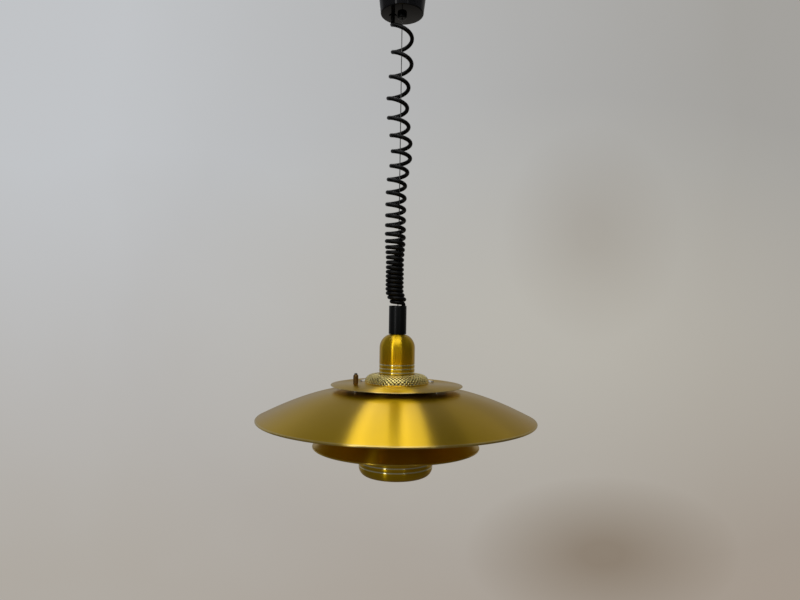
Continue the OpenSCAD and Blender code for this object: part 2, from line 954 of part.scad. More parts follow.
module inner_reflector() {
    color(white)
        difference() {
            ring(reflector_low, reflector_z, reflector_r, holder_r + hair);
            for (i = [0 : vent_holes - 1])
                rotate([0, 0, 360 * (i + 0.5) / vent_holes])
                    translate([vent_ring_r, 0, reflector_low - past])
                        cylinder(r = vent_hole_r, h = shade_t + 2 * past);
            at_rods()
                translate([0, 0, reflector_low - past])
                    cylinder(d = rod_d + 2 * hair, h = shade_t + 2 * past);
        }
}

module glare_collar() {
    color(white)
        ring(reflector_low - collar_h, reflector_low, collar_r, collar_r - shade_t);
}

module shade_spacers() {
    color(steel)
        at_rods()
            difference() {
                translate([0, 0, large_z])
                    cylinder(d = spacer_d, h = reflector_low - large_z);
                translate([0, 0, large_z - past])
                    cylinder(d = rod_d + 2 * clear, h = reflector_low - large_z + 2 * past);
            }
}

// Upper surface of a shade: level to flat_r, then falling ever more steeply to its rim
function shade_z(r, z, h, flat_r, end_r) =
    z - h * pow(max(0, (r - flat_r) / (end_r - flat_r)), curve_power);

// Radius where a shade's upper surface has come down as far as its flat middle's underside
function parting_r(h, flat_r, end_r) =
    flat_r + (end_r - flat_r) * pow(shade_t / h, 1 / curve_power);

// Flat middle of a shade, cut off level with its own underside
module shade_crown(z, h, flat_r, rim_r, hole_r) {
    end_r = rim_r - bead_r;
    edge_r = parting_r(h, flat_r, end_r);
    steps = 4;
    difference() {
        rotate_extrude()
            polygon(concat(
                [[hole_r, z - shade_t], [hole_r, z]],
                [for (i = [0 : steps - 1])
                    let (r = flat_r + (edge_r - flat_r) * i / steps)
                    [r, shade_z(r, z, h, flat_r, end_r)]],
                [[edge_r, z - shade_t]]
            ));
        at_rods()
            translate([0, 0, z - shade_t - past])
                cylinder(d = rod_d + 2 * hair, h = shade_t + 2 * past);
    }
}

// Curved skirt of a shade, from that level down to the rolled bead on its rim
module shade_skirt(z, h, flat_r, rim_r, steps) {
    end_r = rim_r - bead_r;
    low_r = rim_r - 2 * bead_r;
    edge_r = parting_r(h, flat_r, end_r);
    bead_z = z - h - bead_r;
    rotate_extrude()
        polygon(concat(
            [[flat_r, z - shade_t], [edge_r, z - shade_t]],
            [for (i = [1 : steps])
                let (r = edge_r + (end_r - edge_r) * i / steps)
                [r, shade_z(r, z, h, flat_r, end_r)]],
            arc(end_r, bead_z, bead_r, bead_r, 60, -180, 8),
            [for (i = [steps : -1 : 1])
                let (r = flat_r + (low_r - flat_r) * i / steps)
                [r, shade_z(r, z, h, flat_r, end_r) - shade_t]]
        ));
}

module large_crown() {
    color(brass)
        shade_crown(large_z, large_h, large_flat_r, large_r, large_hole_r);
}

module large_shade() {
    color(brass)
        shade_skirt(large_z, large_h, large_flat_r, large_r, 20);
}

module second_crown() {
    color(brass)
        shade_crown(second_z, second_h, second_flat_r, second_r, flange_hole_r);
}

module second_shade() {
    color(brass)
        shade_skirt(second_z, second_h, second_flat_r, second_r, 12);
}

module support_rods() {
    low = cup_z - shade_t - rod_nut_t - rod_end;
    color(steel)
        at_rods()
            translate([0, 0, low])
                cylinder(d = rod_d, h = disc_low - low);
    color(steel)
        at_rods([knob_angle])
            translate([0, 0, disc_low])
                cylinder(d = rod_d, h = disc_t + knob_h + rod_end / 2);
}

module long_spacers() {
    color(brass)
        at_rods()
            difference() {
                translate([0, 0, second_z])
                    cylinder(d = spacer_d, h = large_z - shade_t - second_z);
                translate([0, 0, second_z - past])
                    cylinder(d = rod_d + 2 * clear, h = large_z - second_z + 2 * past);
            }
}

// Flat ring under the second shade that the cup hangs from
module cup_flange() {
    color(brass)
        difference() {
            ring(cup_z - shade_t, cup_z, second_flat_r - cup_flange_in, cup_r - shade_t);
            at_rods()
                translate([0, 0, cup_z - shade_t - past])
                    cylinder(d = rod_d + 2 * hair, h = shade_t + 2 * past);
        }
}

// Cup with an upright wall and a mouth that draws in
module bottom_cup() {
    wall_top = cup_z - shade_t;
    wall_low = cup_low + cup_curve_h;
    a = cup_r - cup_mouth_r;
    first = wall_low + cup_groove_from;
    color(brass)
        rotate_extrude()
            polygon(concat(
                [[cup_r - shade_t, wall_top],
                 [cup_r, wall_top]],
                [for (i = [1 : -1 : 0]) each groove(cup_r, first + i * groove_pitch)],
                arc(cup_mouth_r, wall_low, a, cup_curve_h, 0, -90, 8),
                [[cup_mouth_r, cup_low + shade_t]],
                arc(cup_mouth_r, wall_low, a - shade_t, cup_curve_h - shade_t, -82, 0, 8)
            ));
}

module rod_nuts() {
    color(steel)
        at_rods()
            translate([0, 0, cup_z - shade_t - rod_nut_t])
                difference() {
                    cylinder(r = rod_nut_r, h = rod_nut_t, $fn = 6);
                    translate([0, 0, -past])
                        cylinder(d = rod_d + 2 * clear, h = rod_nut_t + 2 * past);
                }
}

module bulb_cap() {
    shoulder = bulb_top - bulb_tip_h;
    corner = 2;
    color(steel)
        rotate_extrude()
            polygon([
                [0, bulb_top],
                [contact_r, bulb_top],
                [contact_r + corner, shoulder],
                [bulb_cap_r, shoulder - corner],
                [bulb_cap_r, bulb_cap_low],
                [0, bulb_cap_low]
            ]);
}

// Radius of the bulb's glass at a depth below its cap: a neck that swells into a ball
function glass_r(d) =
    let (
        ball = bulb_glass_h - bulb_r,
        swell = smooth(d / ball)
    )
    d < ball
        ? bulb_cap_r + (bulb_r - bulb_cap_r) * (0.25 * d / ball + 0.75 * swell)
        : sqrt(max(0, bulb_r * bulb_r - pow(d - ball, 2)));

module bulb_glass() {
    ball = bulb_glass_h - bulb_r;
    inner_r = bulb_r - bulb_wall;
    color(white)
        rotate_extrude()
            polygon(concat(
                [for (i = [0 : 11]) [glass_r(ball * i / 12), bulb_cap_low - ball * i / 12]],
                arc(0, bulb_cap_low - ball, bulb_r, bulb_r, 0, -90, 16),
                arc(0, bulb_cap_low - ball, inner_r, inner_r, -90, 0, 16),
                [for (i = [11 : -1 : 0])
                    [glass_r(ball * i / 12) - bulb_wall, bulb_cap_low - ball * i / 12]]
            ));
}

echo(  // curly_cord
        least_gap_of_curly_cord_mm = cord_gap,
        cord_length_mm = cord_length,
        cord_rings = len(cord_route)
    );

housing_cup();
reel_frame();
hook_eye();
drum_axle();
axle_clip();
tension_nut();
brake_washer();
wire_drum();
drum_winding();
spring_case();
power_spring();
terminal_block();
terminal_screws();
supply_grip();
guide_bush();
bush_nut();
cord_grip();
lift_wire();
wire_ferrule();
wire_anchor();
curly_cord();
cord_sleeve();
nipple();
nipple_nuts();
bell_cover();
holder_cap();
holder_core();
thread_shell();
centre_contact();
holder_sleeve();
shade_ring();
vent_dome();
top_disc();
knob_nut();
disc_spacers();
inner_reflector();
glare_collar();
shade_spacers();
large_crown();
large_shade();
support_rods();
long_spacers();
second_crown();
second_shade();
cup_flange();
bottom_cup();
rod_nuts();
bulb_cap();
bulb_glass();
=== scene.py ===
"""Rise and fall pendant: the look of a brass-coloured lamp under a reel housing.

Lengths are in metres, apart from the curly cord's sizes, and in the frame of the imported
model: +Z is up and the origin is the centre of the eye in the reel housing.
"""

import logging
import math
from abc import ABC, abstractmethod
from dataclasses import dataclass, field, replace
from enum import Enum
from typing import Sequence

import bmesh
import bpy
import numpy as np
from mathutils import Matrix, Vector


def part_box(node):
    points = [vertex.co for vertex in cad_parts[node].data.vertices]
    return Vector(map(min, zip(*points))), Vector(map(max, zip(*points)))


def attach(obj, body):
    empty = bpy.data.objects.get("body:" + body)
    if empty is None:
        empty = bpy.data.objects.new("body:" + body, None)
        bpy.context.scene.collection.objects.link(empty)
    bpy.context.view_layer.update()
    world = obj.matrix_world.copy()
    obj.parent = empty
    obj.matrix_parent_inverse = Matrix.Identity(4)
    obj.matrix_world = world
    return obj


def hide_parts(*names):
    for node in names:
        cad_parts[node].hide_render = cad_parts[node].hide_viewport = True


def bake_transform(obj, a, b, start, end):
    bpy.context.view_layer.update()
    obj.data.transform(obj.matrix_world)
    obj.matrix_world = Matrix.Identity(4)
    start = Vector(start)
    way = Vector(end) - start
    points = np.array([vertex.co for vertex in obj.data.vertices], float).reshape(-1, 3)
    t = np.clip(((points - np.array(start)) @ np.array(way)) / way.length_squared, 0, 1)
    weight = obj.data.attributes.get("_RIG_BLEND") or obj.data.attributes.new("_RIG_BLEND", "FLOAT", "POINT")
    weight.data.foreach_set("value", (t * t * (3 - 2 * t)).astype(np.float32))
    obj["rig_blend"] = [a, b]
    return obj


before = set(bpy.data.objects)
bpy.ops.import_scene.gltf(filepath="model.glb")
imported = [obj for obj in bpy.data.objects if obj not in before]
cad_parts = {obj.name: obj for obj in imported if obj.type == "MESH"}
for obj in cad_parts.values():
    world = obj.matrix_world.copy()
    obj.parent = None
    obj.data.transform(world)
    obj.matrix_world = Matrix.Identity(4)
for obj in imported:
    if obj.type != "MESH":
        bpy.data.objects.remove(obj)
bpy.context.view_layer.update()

LOG = logging.getLogger("pendant")
MM = 0.001
TURN = 2 * math.pi
FOLD = 32.0  # Degrees past which an edge is sharp

Array = np.ndarray
Colour = tuple[float, float, float]


# ---- Surfaces ----


@dataclass
class Surface:
    """A mesh as plain arrays: points, and faces of four corners each."""

    points: Array
    faces: Array

    def moved(self, offset: Array) -> "Surface":
        """Returns the surface shifted by an offset."""
        return Surface(self.points + offset, self.faces)

    def mesh(self, name: str, sharp: float = FOLD) -> bpy.types.Mesh:
        """Writes the arrays into a Blender mesh with smooth faces and sharp edges.

        Args:
            name: The mesh's name.
            sharp: Edges that fold by more than this many degrees stay sharp.

        Returns:
            The mesh, with doubled points merged and its empty faces gone.
        """
        mesh = bpy.data.meshes.new(name)
        mesh.vertices.add(len(self.points))
        mesh.vertices.foreach_set("co", self.points.astype(np.float32).ravel())
        mesh.loops.add(self.faces.size)
        mesh.loops.foreach_set("vertex_index", self.faces.astype(np.int32).ravel())
        mesh.polygons.add(len(self.faces))
        mesh.polygons.foreach_set("loop_start", 4 * np.arange(len(self.faces), dtype=np.int32))
        mesh.update(calc_edges=True)
        mesh.validate()
        work = bmesh.new()
        work.from_mesh(mesh)
        bmesh.ops.remove_doubles(work, verts=work.verts, dist=0.002 * MM)
        bmesh.ops.dissolve_degenerate(work, edges=work.edges, dist=0.0001 * MM)
        work.to_mesh(mesh)
        work.free()
        mesh.polygons.foreach_set("use_smooth", np.ones(len(mesh.polygons), bool))
        mesh.set_sharp_from_angle(angle=math.radians(sharp))
        return mesh


def together(parts: Sequence[Surface]) -> Surface:
    """Joins surfaces into one.

    Args:
        parts: The surfaces.

    Returns:
        One surface, whose faces count on past the points of the parts before.
    """
    starts = np.cumsum([0] + [len(part.points) for part in parts])
    faces = [part.faces + start for part, start in zip(parts, starts)]
    return Surface(np.vstack([part.points for part in parts]), np.vstack(faces))


def grid(points: Array, wrap_rows: bool, wrap_columns: bool) -> Surface:
    """Turns a table of points into a surface of four-cornered faces.

    Face (i, j) joins rows i and i + 1 with columns j and j + 1, and a wrapped direction
    also joins its last row or column with its first.

    Args:
        points: Array of rows by columns by 3.
        wrap_rows: Whether the last row meets the first.
        wrap_columns: Whether the last column meets the first.

    Returns:
        The surface.
    """
    rows, columns = points.shape[:2]
    i = np.arange(rows if wrap_rows else rows - 1)[:, None]
    j = np.arange(columns if wrap_columns else columns - 1)[None, :]
    low, high, ahead = i * columns, (i + 1) % rows * columns, (j + 1) % columns
    faces = np.stack([low + j, low + ahead, high + ahead, high + j], axis=-1)
    return Surface(points.reshape(-1, 3), faces.reshape(-1, 4))


def round_steps(count: int) -> Array:
    """Angles of a number of even steps round a circle, from 0."""
    return np.arange(count) / count * TURN


def polar(r: Array | float, a: Array | float, z: Array | float) -> Array:
    """Points by radius, angle and level: (r cos a, r sin a, z)."""
    return np.stack(np.broadcast_arrays(r * np.cos(a), r * np.sin(a), z), axis=-1)


def arc(
    centre: Sequence[float], size: Sequence[float] | float, degrees: Sequence[float], steps: int
) -> Array:
    """Points of an ellipse's arc: centre plus size times the cosine and sine of the angle."""
    angle = np.radians(np.linspace(*degrees, steps + 1))
    return np.asarray(centre) + size * np.column_stack([np.cos(angle), np.sin(angle)])


def rounded(corners: Sequence[Sequence[float]], steps: int = 5) -> Array:
    """Rounds the corners of a closed outline.

    Each corner is a radius, a level and a rounding, all in metres. The arc at a corner is
    the true circle that touches both sides, written as a weighted quadratic curve from the
    first touching point to the second, in which the corner weighs the sine of half the
    angle between the sides. An arc takes less than half of the shorter side.

    Args:
        corners: Rows of radius, level and rounding.
        steps: Spans in each arc.

    Returns:
        The outline's points, without repeated ones.
    """
    table = np.asarray(corners, float)
    point, size = table[:, :2], table[:, 2:3]
    back, ahead = (np.roll(point, shift, axis=0) - point for shift in (1, -1))
    back_length, ahead_length = (
        np.linalg.norm(side, axis=1, keepdims=True) for side in (back, ahead)
    )
    back, ahead = back / back_length, ahead / ahead_length
    half = np.arccos(np.clip((back * ahead).sum(axis=1, keepdims=True), -1, 1)) / 2
    touch = np.minimum(size / np.tan(half), 0.49 * np.minimum(back_length, ahead_length))
    start, end = point + back * touch, point + ahead * touch
    t = np.linspace(0, 1, steps + 1)[None, :, None]
    lead, middle, tail = (1 - t) ** 2, 2 * t * (1 - t) * np.sin(half)[:, :, None], t**2
    arcs = lead * start[:, None] + middle * point[:, None] + tail * end[:, None]
    outline = (arcs / (lead + middle + tail)).reshape(-1, 2)
    step = np.linalg.norm(outline - np.roll(outline, 1, axis=0), axis=1)
    return outline[step > 0.0001 * MM]


def turned(outline: Array, segments: int = 256) -> Surface:
    """Carries a closed outline round the Z axis.

    The outline is first put in the order that makes the faces look outwards.

    Args:
        outline: Points of radius and level.
        segments: Steps round the axis.

    Returns:
        The turned solid's surface.
    """
    r, z = outline.T
    area = (r * np.roll(z, -1) - np.roll(r, -1) * z).sum()
    ordered = outline if area > 0 else outline[::-1]
    return grid(polar(ordered[:, :1], round_steps(segments), ordered[:, 1:]), True, True)


def capped(rings: Array, first: Array, last: Array) -> Surface:
    """Joins rings of points into a tube, whose ends are drawn to the two given points."""
    ends = [np.tile(end, (1, rings.shape[1], 1)) for end in (first, last)]
    return grid(np.concatenate([ends[0], rings, ends[1]]), False, True)


def swept(path: Array, outward: Array, radius: Array) -> Surface:
    """Carries a closed section along a path.

    At each point of the path, u is the outward direction less its part along the path, and
    v is the path's direction crossed with u. The section's point at angle a is
    path + radius (u cos a + v sin a).

    Args:
        path: Points of the middle line.
        outward: A direction for each point, from which the section's angles are counted.
        radius: Radius for each point and each even step round it.

    Returns:
        The tube, with closed ends.
    """
    along = np.gradient(path, axis=0)
    along /= np.linalg.norm(along, axis=1, keepdims=True)
    u = outward - (outward * along).sum(axis=1, keepdims=True) * along
    u /= np.linalg.norm(u, axis=1, keepdims=True)
    v = np.cross(along, u)
    angle = round_steps(radius.shape[1])[:, None]
    c, s = np.cos(angle), np.sin(angle)
    rings = path[:, None] + radius[..., None] * (c * u[:, None] + s * v[:, None])
    return capped(rings, path[0], path[-1])


def smooth(t: Array | float) -> Array:
    """0 below 0, 1 above 1, and 3t squared less 2t cubed between them."""
    u = np.clip(t, 0, 1)
    return u * u * (3 - 2 * u)


# ---- Shader maths ----


class Socket:
    """One output in a material's tree. Arithmetic on it adds Math nodes."""

    def __init__(self, tree: "Tree", out: bpy.types.NodeSocket | None) -> None:
        """Wraps an output of a node in a tree."""
        self.tree = tree
        self.out = out

    def maths(self, operation: str, *others: "Socket | float", clamp: bool = False) -> "Socket":
        """Adds one Math node that takes this output first."""
        settings = {"operation": operation, "use_clamp": clamp}
        return self.tree.add("ShaderNodeMath", settings, dict(enumerate((self, *others))))

    def __add__(self, other: "Socket | float") -> "Socket":
        """This plus other."""
        return self.maths("ADD", other)

    def __sub__(self, other: "Socket | float") -> "Socket":
        """This minus other."""
        return self.maths("SUBTRACT", other)

    def __rsub__(self, other: float) -> "Socket":
        """A number minus this."""
        return self * -1.0 + other

    def __mul__(self, other: "Socket | float") -> "Socket":
        """This times other."""
        return self.maths("MULTIPLY", other)

    def __truediv__(self, other: "Socket | float") -> "Socket":
        """This divided by other."""
        return self.maths("DIVIDE", other)

    def __lt__(self, other: "Socket | float") -> "Socket":
        """1 where this is less than other, else 0."""
        return self.maths("LESS_THAN", other)

    def __abs__(self) -> "Socket":
        """This without its sign."""
        return self.maths("ABSOLUTE")

    __radd__, __rmul__ = __add__, __mul__

    def between(self, low: float, high: float) -> "Socket":
        """0 at low, 1 at high, in proportion between them, and held beyond them."""
        return ((self - low) / (high - low)).maths("MULTIPLY", 1.0, clamp=True)


class Tree:
    """The nodes of a material or a world, and the methods that add to them."""

    def __init__(self, owner: bpy.types.Material | bpy.types.World) -> None:
        """Empties the owner's node tree and keeps hold of it.

        Args:
            owner: The material or world that gets the nodes.
        """
        owner.use_nodes = True
        self.nodes = owner.node_tree.nodes
        self.links = owner.node_tree.links
        self.nodes.clear()

    def add(
        self,
        kind: str,
        settings: dict[str, object] | None = None,
        inputs: dict[int | str, object] | None = None,
        out: int | str = 0,
    ) -> Socket:
        """Adds a node.

        Args:
            kind: The node's type.
            settings: Its own options, such as a Math node's operation.
            inputs: Values or sockets by the input's name or number.
            out: Name or number of the output to return.

        Returns:
            The chosen output, which is empty on a node that has none.
        """
        node = self.nodes.new(kind)
        for key, value in (settings or {}).items():
            setattr(node, key, value)
        for key, value in (inputs or {}).items():
            target = node.inputs[key]
            if isinstance(value, Socket):
                self.links.new(value.out, target)
            elif target.type == "RGBA":
                target.default_value = (*value, 1.0)
            else:
                target.default_value = value
        return Socket(self, node.outputs[out] if len(node.outputs) else None)

    def place(self) -> Socket:
        """Object coordinates, in metres."""
        return self.add("ShaderNodeTexCoord", out="Object")

    def axes(self, vector: Socket) -> list[Socket]:
        """The three parts of a vector."""
        first = self.add("ShaderNodeSeparateXYZ", None, {0: vector})
        return [Socket(self, out) for out in first.out.node.outputs]

    def radius(self) -> Socket:
        """Distance from the lamp's axis, in metres."""
        x, y, _ = self.axes(self.place())
        return (x * x + y * y).maths("SQRT")

    def height(self) -> Socket:
        """Level, in metres."""
        return self.axes(self.place())[2]

    def upward(self) -> Socket:
        """How far the surface looks up, from -1 to 1."""
        return self.axes(self.add("ShaderNodeNewGeometry", out="Normal"))[2]

    def noise(
        self, vector: Socket, scale: float, detail: float = 2.0, rough: float = 0.5
    ) -> Socket:
        """Noise from 0 to 1 at a scale in turns a metre."""
        inputs = {"Vector": vector, "Scale": scale, "Detail": detail, "Roughness": rough}
        return self.add("ShaderNodeTexNoise", None, inputs)

    def vector(self, x: Socket, y: Socket, z: Socket) -> Socket:
        """A vector from three parts."""
        return self.add("ShaderNodeCombineXYZ", None, {0: x, 1: y, 2: z})

    def mix(self, share: Socket, first: Socket | Colour, second: Socket | Colour) -> Socket:
        """A colour that goes from first to second as share goes from 0 to 1."""
        inputs = {0: share, 6: first, 7: second}
        return self.add("ShaderNodeMix", {"data_type": "RGBA"}, inputs, 2)


class Grain(Enum):
    """How a surface was worked, which decides the run of its fine marks."""

    SPUN = "rings round the axis"
    DRAWN = "lines along the axis"
    MOULDED = "fine even texture"
    SMOOTH = "almost none"


# Scales of the noises in turns a metre, but SPUN_ROUND in turns a radian
SPUN_ACROSS, SPUN_ROUND = 2600.0, 2.2
DRAWN_ACROSS, DRAWN_ALONG = 3000.0, 60.0
MOULDED_SCALE, SMOOTH_SCALE = 900.0, 120.0
DUST_SCALE, WORN_GLINT_SCALE = 420.0, 60.0
# The noise at which a pattern begins and the noise at which it is full
CLOUD_SPAN, DUST_SPAN, WORN_GLINT_SPAN = (0.35, 0.75), (0.55, 0.8), (0.3, 0.7)
DUST_FACING = (0.1, 1.0)
DUST_COLOUR: Colour = (0.42, 0.4, 0.37)
DUST_ROUGHNESS = 0.4
# Width and least share of the paler patches on rims, which are partly wear and partly a painted highlight of
# the rim's glint
WORN_GLINT_WIDTH = 0.6 * MM
WORN_GLINT_LEAST = 0.4
GROOVE_SHINE = 0.12
GRAIN_TURN = 0.25
BUMP_STRENGTH = 0.6


@dataclass(frozen=True)
class Finish:
    """One finish of the lamp, made as a node material of its own.

    Its name is never a record slot's, because the frame holds plain materials of those names. The bare metal
    shows within groove_half of each level in grooves, and in patches past the radius worn_glint_from, which
    are partly wear and partly a painted highlight of a rim's glint. Faces past painted_shade_from that look
    up by less than painted_shade_facing get the colour painted_shade, a painted shade.
    """

    name: str
    colour: Colour
    second: Colour
    roughness: float
    metallic: float = 0.0
    grain: Grain = Grain.MOULDED
    grain_depth: float = 0.0
    rough_spread: float = 0.04
    mottle: float = 0.35
    mottle_scale: float = 18.0
    anisotropy: float = 0.0
    coat: float = 0.0
    coat_roughness: float = 0.1
    transmission: float = 0.0
    specular: float = 0.5
    dust: float = 0.0
    # Bare metal: in the grooves, and on rims, where it is partly wear and partly a painted highlight
    bare: Colour = (0.88, 0.83, 0.5)
    worn_glint: float = 0.0
    worn_glint_from: float = 0.0
    grooves: tuple[float, ...] = ()
    groove_half: float = 0.0
    # Colour of a painted shade, the radius past which it goes, and the upward facing below which it goes
    painted_shade: Colour = (0.03, 0.028, 0.026)
    painted_shade_from: float = 0.0
    painted_shade_facing: float = 0.5

    def marks(self, tree: Tree) -> Socket:
        """The fine marks, from 0 to 1.

        Spun marks are noise that is fine along the radius and the height, and stretched
        round the axis. Drawn marks are fine round the axis and stretched along it.

        Args:
            tree: The material being made.

        Returns:
            The noise.
        """
        place = tree.place()
        x, y, z = tree.axes(place)
        if self.grain is Grain.SPUN:
            turn = y.maths("ARCTAN2", x) * SPUN_ROUND
            where = tree.vector(tree.radius() * SPUN_ACROSS, turn, z * SPUN_ACROSS)
            return tree.noise(where, 1.0, 3.0, 0.6)
        if self.grain is Grain.DRAWN:
            where = tree.vector(x * DRAWN_ACROSS, y * DRAWN_ACROSS, z * DRAWN_ALONG)
            return tree.noise(where, 1.0)
        scale = MOULDED_SCALE if self.grain is Grain.MOULDED else SMOOTH_SCALE
        return tree.noise(place, scale, 3.0)

    def build(self) -> bpy.types.Material:
        """Makes the material, or finds the one already made under this name.

        Returns:
            The material.
        """
        made = bpy.data.materials.get(self.name)
        if made is not None:
            return made
        made = bpy.data.materials.new(self.name)
        tree = Tree(made)
        place, marks = tree.place(), self.marks(tree)
        cloud = tree.noise(place, self.mottle_scale, 4.0, 0.6)
        colour = tree.mix(cloud.between(*CLOUD_SPAN) * self.mottle, self.colour, self.second)
        rough = (cloud + marks - 1.0) * self.rough_spread + self.roughness
        if self.dust:
            specks = tree.noise(place, DUST_SCALE).between(*DUST_SPAN)
            layer = tree.upward().between(*DUST_FACING) * specks * self.dust
            colour = tree.mix(layer, colour, DUST_COLOUR)
            rough = rough + layer * DUST_ROUGHNESS
        # Painted shade: faces past a radius that look up by less than a set amount get a darker colour, for
        # the shade under the disc and in the gap beneath it
        if self.painted_shade_from:
            painted_shade_zone = 1.0 - (tree.radius() < self.painted_shade_from)
            colour = tree.mix(painted_shade_zone * (tree.upward() < self.painted_shade_facing), colour, self.painted_shade)
        # Paler bare metal in patches along the rim: partly wear, partly a painted highlight of the rim's
        # glint
        if self.worn_glint:
            edge = tree.radius().between(self.worn_glint_from, self.worn_glint_from + WORN_GLINT_WIDTH)
            patches = tree.noise(place, WORN_GLINT_SCALE, 3.0).between(*WORN_GLINT_SPAN)
            share = edge * (patches * (1 - WORN_GLINT_LEAST) + WORN_GLINT_LEAST) * self.worn_glint
            colour = tree.mix(share, colour, self.bare)
        for at in self.grooves:
            groove = abs(tree.height() - at) < self.groove_half
            colour = tree.mix(groove, colour, self.bare)
            rough = rough - groove * GROOVE_SHINE
        inputs: dict[int | str, object] = {
            "Base Color": colour,
            "Roughness": rough,
            "Metallic": self.metallic,
            "Anisotropic": self.anisotropy,
            "Anisotropic Rotation": GRAIN_TURN,
            "Coat Weight": self.coat,
            "Coat Roughness": self.coat_roughness,
            "Transmission Weight": self.transmission,
            "Specular IOR Level": self.specular,
        }
        if self.grain_depth:
            bump = {"Strength": BUMP_STRENGTH, "Distance": self.grain_depth, "Height": marks}
            inputs["Normal"] = tree.add("ShaderNodeBump", None, bump)
        shader = tree.add("ShaderNodeBsdfPrincipled", None, inputs)
        tree.add("ShaderNodeOutputMaterial", None, {"Surface": shader})
        return made


GOLD = Finish(
    "spun_gold", (0.81, 0.51, 0.006), (0.73, 0.45, 0.005), 0.3, 0.95, Grain.SPUN,
    0.01 * MM, mottle=0.5, mottle_scale=9.0, anisotropy=1.0, rough_spread=0.03, coat=0.22,
    coat_roughness=0.25,
)
AGED_BRASS = Finish(
    "aged_brass", (0.2, 0.11, 0.025), (0.09, 0.045, 0.012), 0.36, 0.6, Grain.DRAWN,
    0.03 * MM, mottle=0.8, mottle_scale=160.0, specular=0.3,
)
VENT_BRASS = Finish(
    "vent_brass", (0.92, 0.76, 0.27), (0.76, 0.6, 0.18), 0.18, 1.0,
    grain_depth=0.01 * MM, mottle=0.5, mottle_scale=60.0,
)
# Near-black painted shade for the inside of the vent dome, which is the same sheet as its outside
INSIDE_SHADE = Finish("painted_inside_shade", (0.02, 0.017, 0.013), (0.035, 0.03, 0.02), 0.7)
POLISHED_BRASS = Finish(
    "polished_brass", (0.78, 0.6, 0.26), (0.6, 0.44, 0.17), 0.26, 1.0, Grain.DRAWN, 0.01 * MM,
)
STEEL = Finish(
    "zinc_steel", (0.6, 0.61, 0.62), (0.42, 0.42, 0.41), 0.32, 1.0, Grain.DRAWN,
    0.01 * MM, mottle=0.5, mottle_scale=60.0,
)
WIRE_STEEL = Finish("wire_steel", (0.13, 0.13, 0.125), (0.07, 0.07, 0.07), 0.4, 1.0)
GLOSS_BLACK = Finish(
    "gloss_black", (0.006, 0.006, 0.007), (0.009, 0.009, 0.01), 0.08, 0.0, Grain.SMOOTH,
    rough_spread=0.02, dust=0.06, specular=0.2,
)
SATIN_BLACK = Finish(
    "satin_black", (0.003, 0.004, 0.004), (0.006, 0.006, 0.006), 0.3,
    grain_depth=0.01 * MM, dust=0.02, specular=0.25,
)
CORD_JACKET = Finish(
    "cord_jacket", (0.003, 0.003, 0.0028), (0.006, 0.006, 0.005), 0.38,
    grain_depth=0.04 * MM, rough_spread=0.2, dust=0.008, specular=0.15,
)
IVORY = Finish(
    "ivory_moulding", (0.8, 0.77, 0.66), (0.66, 0.62, 0.5), 0.5, grain_depth=0.03 * MM,
)
FIBRE = Finish(
    "pressed_fibre", (0.3, 0.2, 0.12), (0.2, 0.13, 0.08), 0.8,
    grain_depth=0.1 * MM, mottle_scale=200.0, mottle=0.8,
)
# Faces more than 53.5 mm from the axis that do not look up get a near-black painted shade: the dark outside
# of the reflector and collar in the gap under the disc is painted shade
WHITE = Finish(
    "white_enamel", (0.86, 0.86, 0.83), (0.8, 0.79, 0.74), 0.32,
    grain_depth=0.03 * MM, coat=0.15, painted_shade_from=53.5 * MM,
)
OPAL = Finish(
    "opal_bulb", (0.88, 0.87, 0.83), (0.82, 0.81, 0.77), 0.16, 0.0, Grain.SMOOTH,
    coat=0.4, coat_roughness=0.04, transmission=0.25,
)


# ---- Pieces ----


def linked(name: str, data: bpy.types.ID) -> bpy.types.Object:
    """Makes an object and puts it in the scene.

    Args:
        name: The object's name.
        data: Its mesh, lamp or camera.

    Returns:
        The object.
    """
    thing = bpy.data.objects.new(name, data)
    bpy.context.scene.collection.objects.link(thing)
    return thing


class SubAssembly(ABC):
    """A group of pieces that is made together."""

    body: str = "lamp"

    @abstractmethod
    def build(self) -> None:
        """Makes the group's pieces."""

    def piece(
        self,
        name: str,
        surface: Surface,
        finish: Finish,
        slot: str,
        stands_for: Sequence[str] = (),
        sharp: float = FOLD,
        ride: bool = True,
    ) -> bpy.types.Object:
        """Makes one piece of a surface and puts it in the scene.

        Args:
            name: The piece's name.
            surface: Its shape, in place.
            finish: Its material.
            slot: The record's material slot; not used.
            stands_for: CAD nodes that it is shown in place of.
            sharp: Fold in degrees past which an edge is sharp.
            ride: Whether it rides on the group's body here.

        Returns:
            The new object.
        """
        thing = linked(name, surface.mesh(name, sharp))
        thing.data.materials.append(finish.build())
        if ride:
            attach(thing, self.body)
        if stands_for:
            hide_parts(*stands_for)
        LOG.info("%s: %d points, %s", name, len(thing.data.vertices), finish.name)
        return thing


def level(node: str, top: bool) -> float:
    """The highest or lowest level of a CAD node."""
    low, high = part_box(node)
    return (high if top else low).z


def levels(node: str) -> tuple[float, float]:
    """The lowest and the highest level of a CAD node."""
    return level(node, False), level(node, True)


def dress(finish: Finish, *nodes: str) -> None:
    """Gives CAD nodes that stay in view a finish.

    Args:
        finish: Their material.
        nodes: Their names.
    """
    for node in nodes:
        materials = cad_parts[node].data.materials
        materials.clear()
        materials.append(finish.build())
        LOG.info("%s: CAD node in %s", node, finish.name)


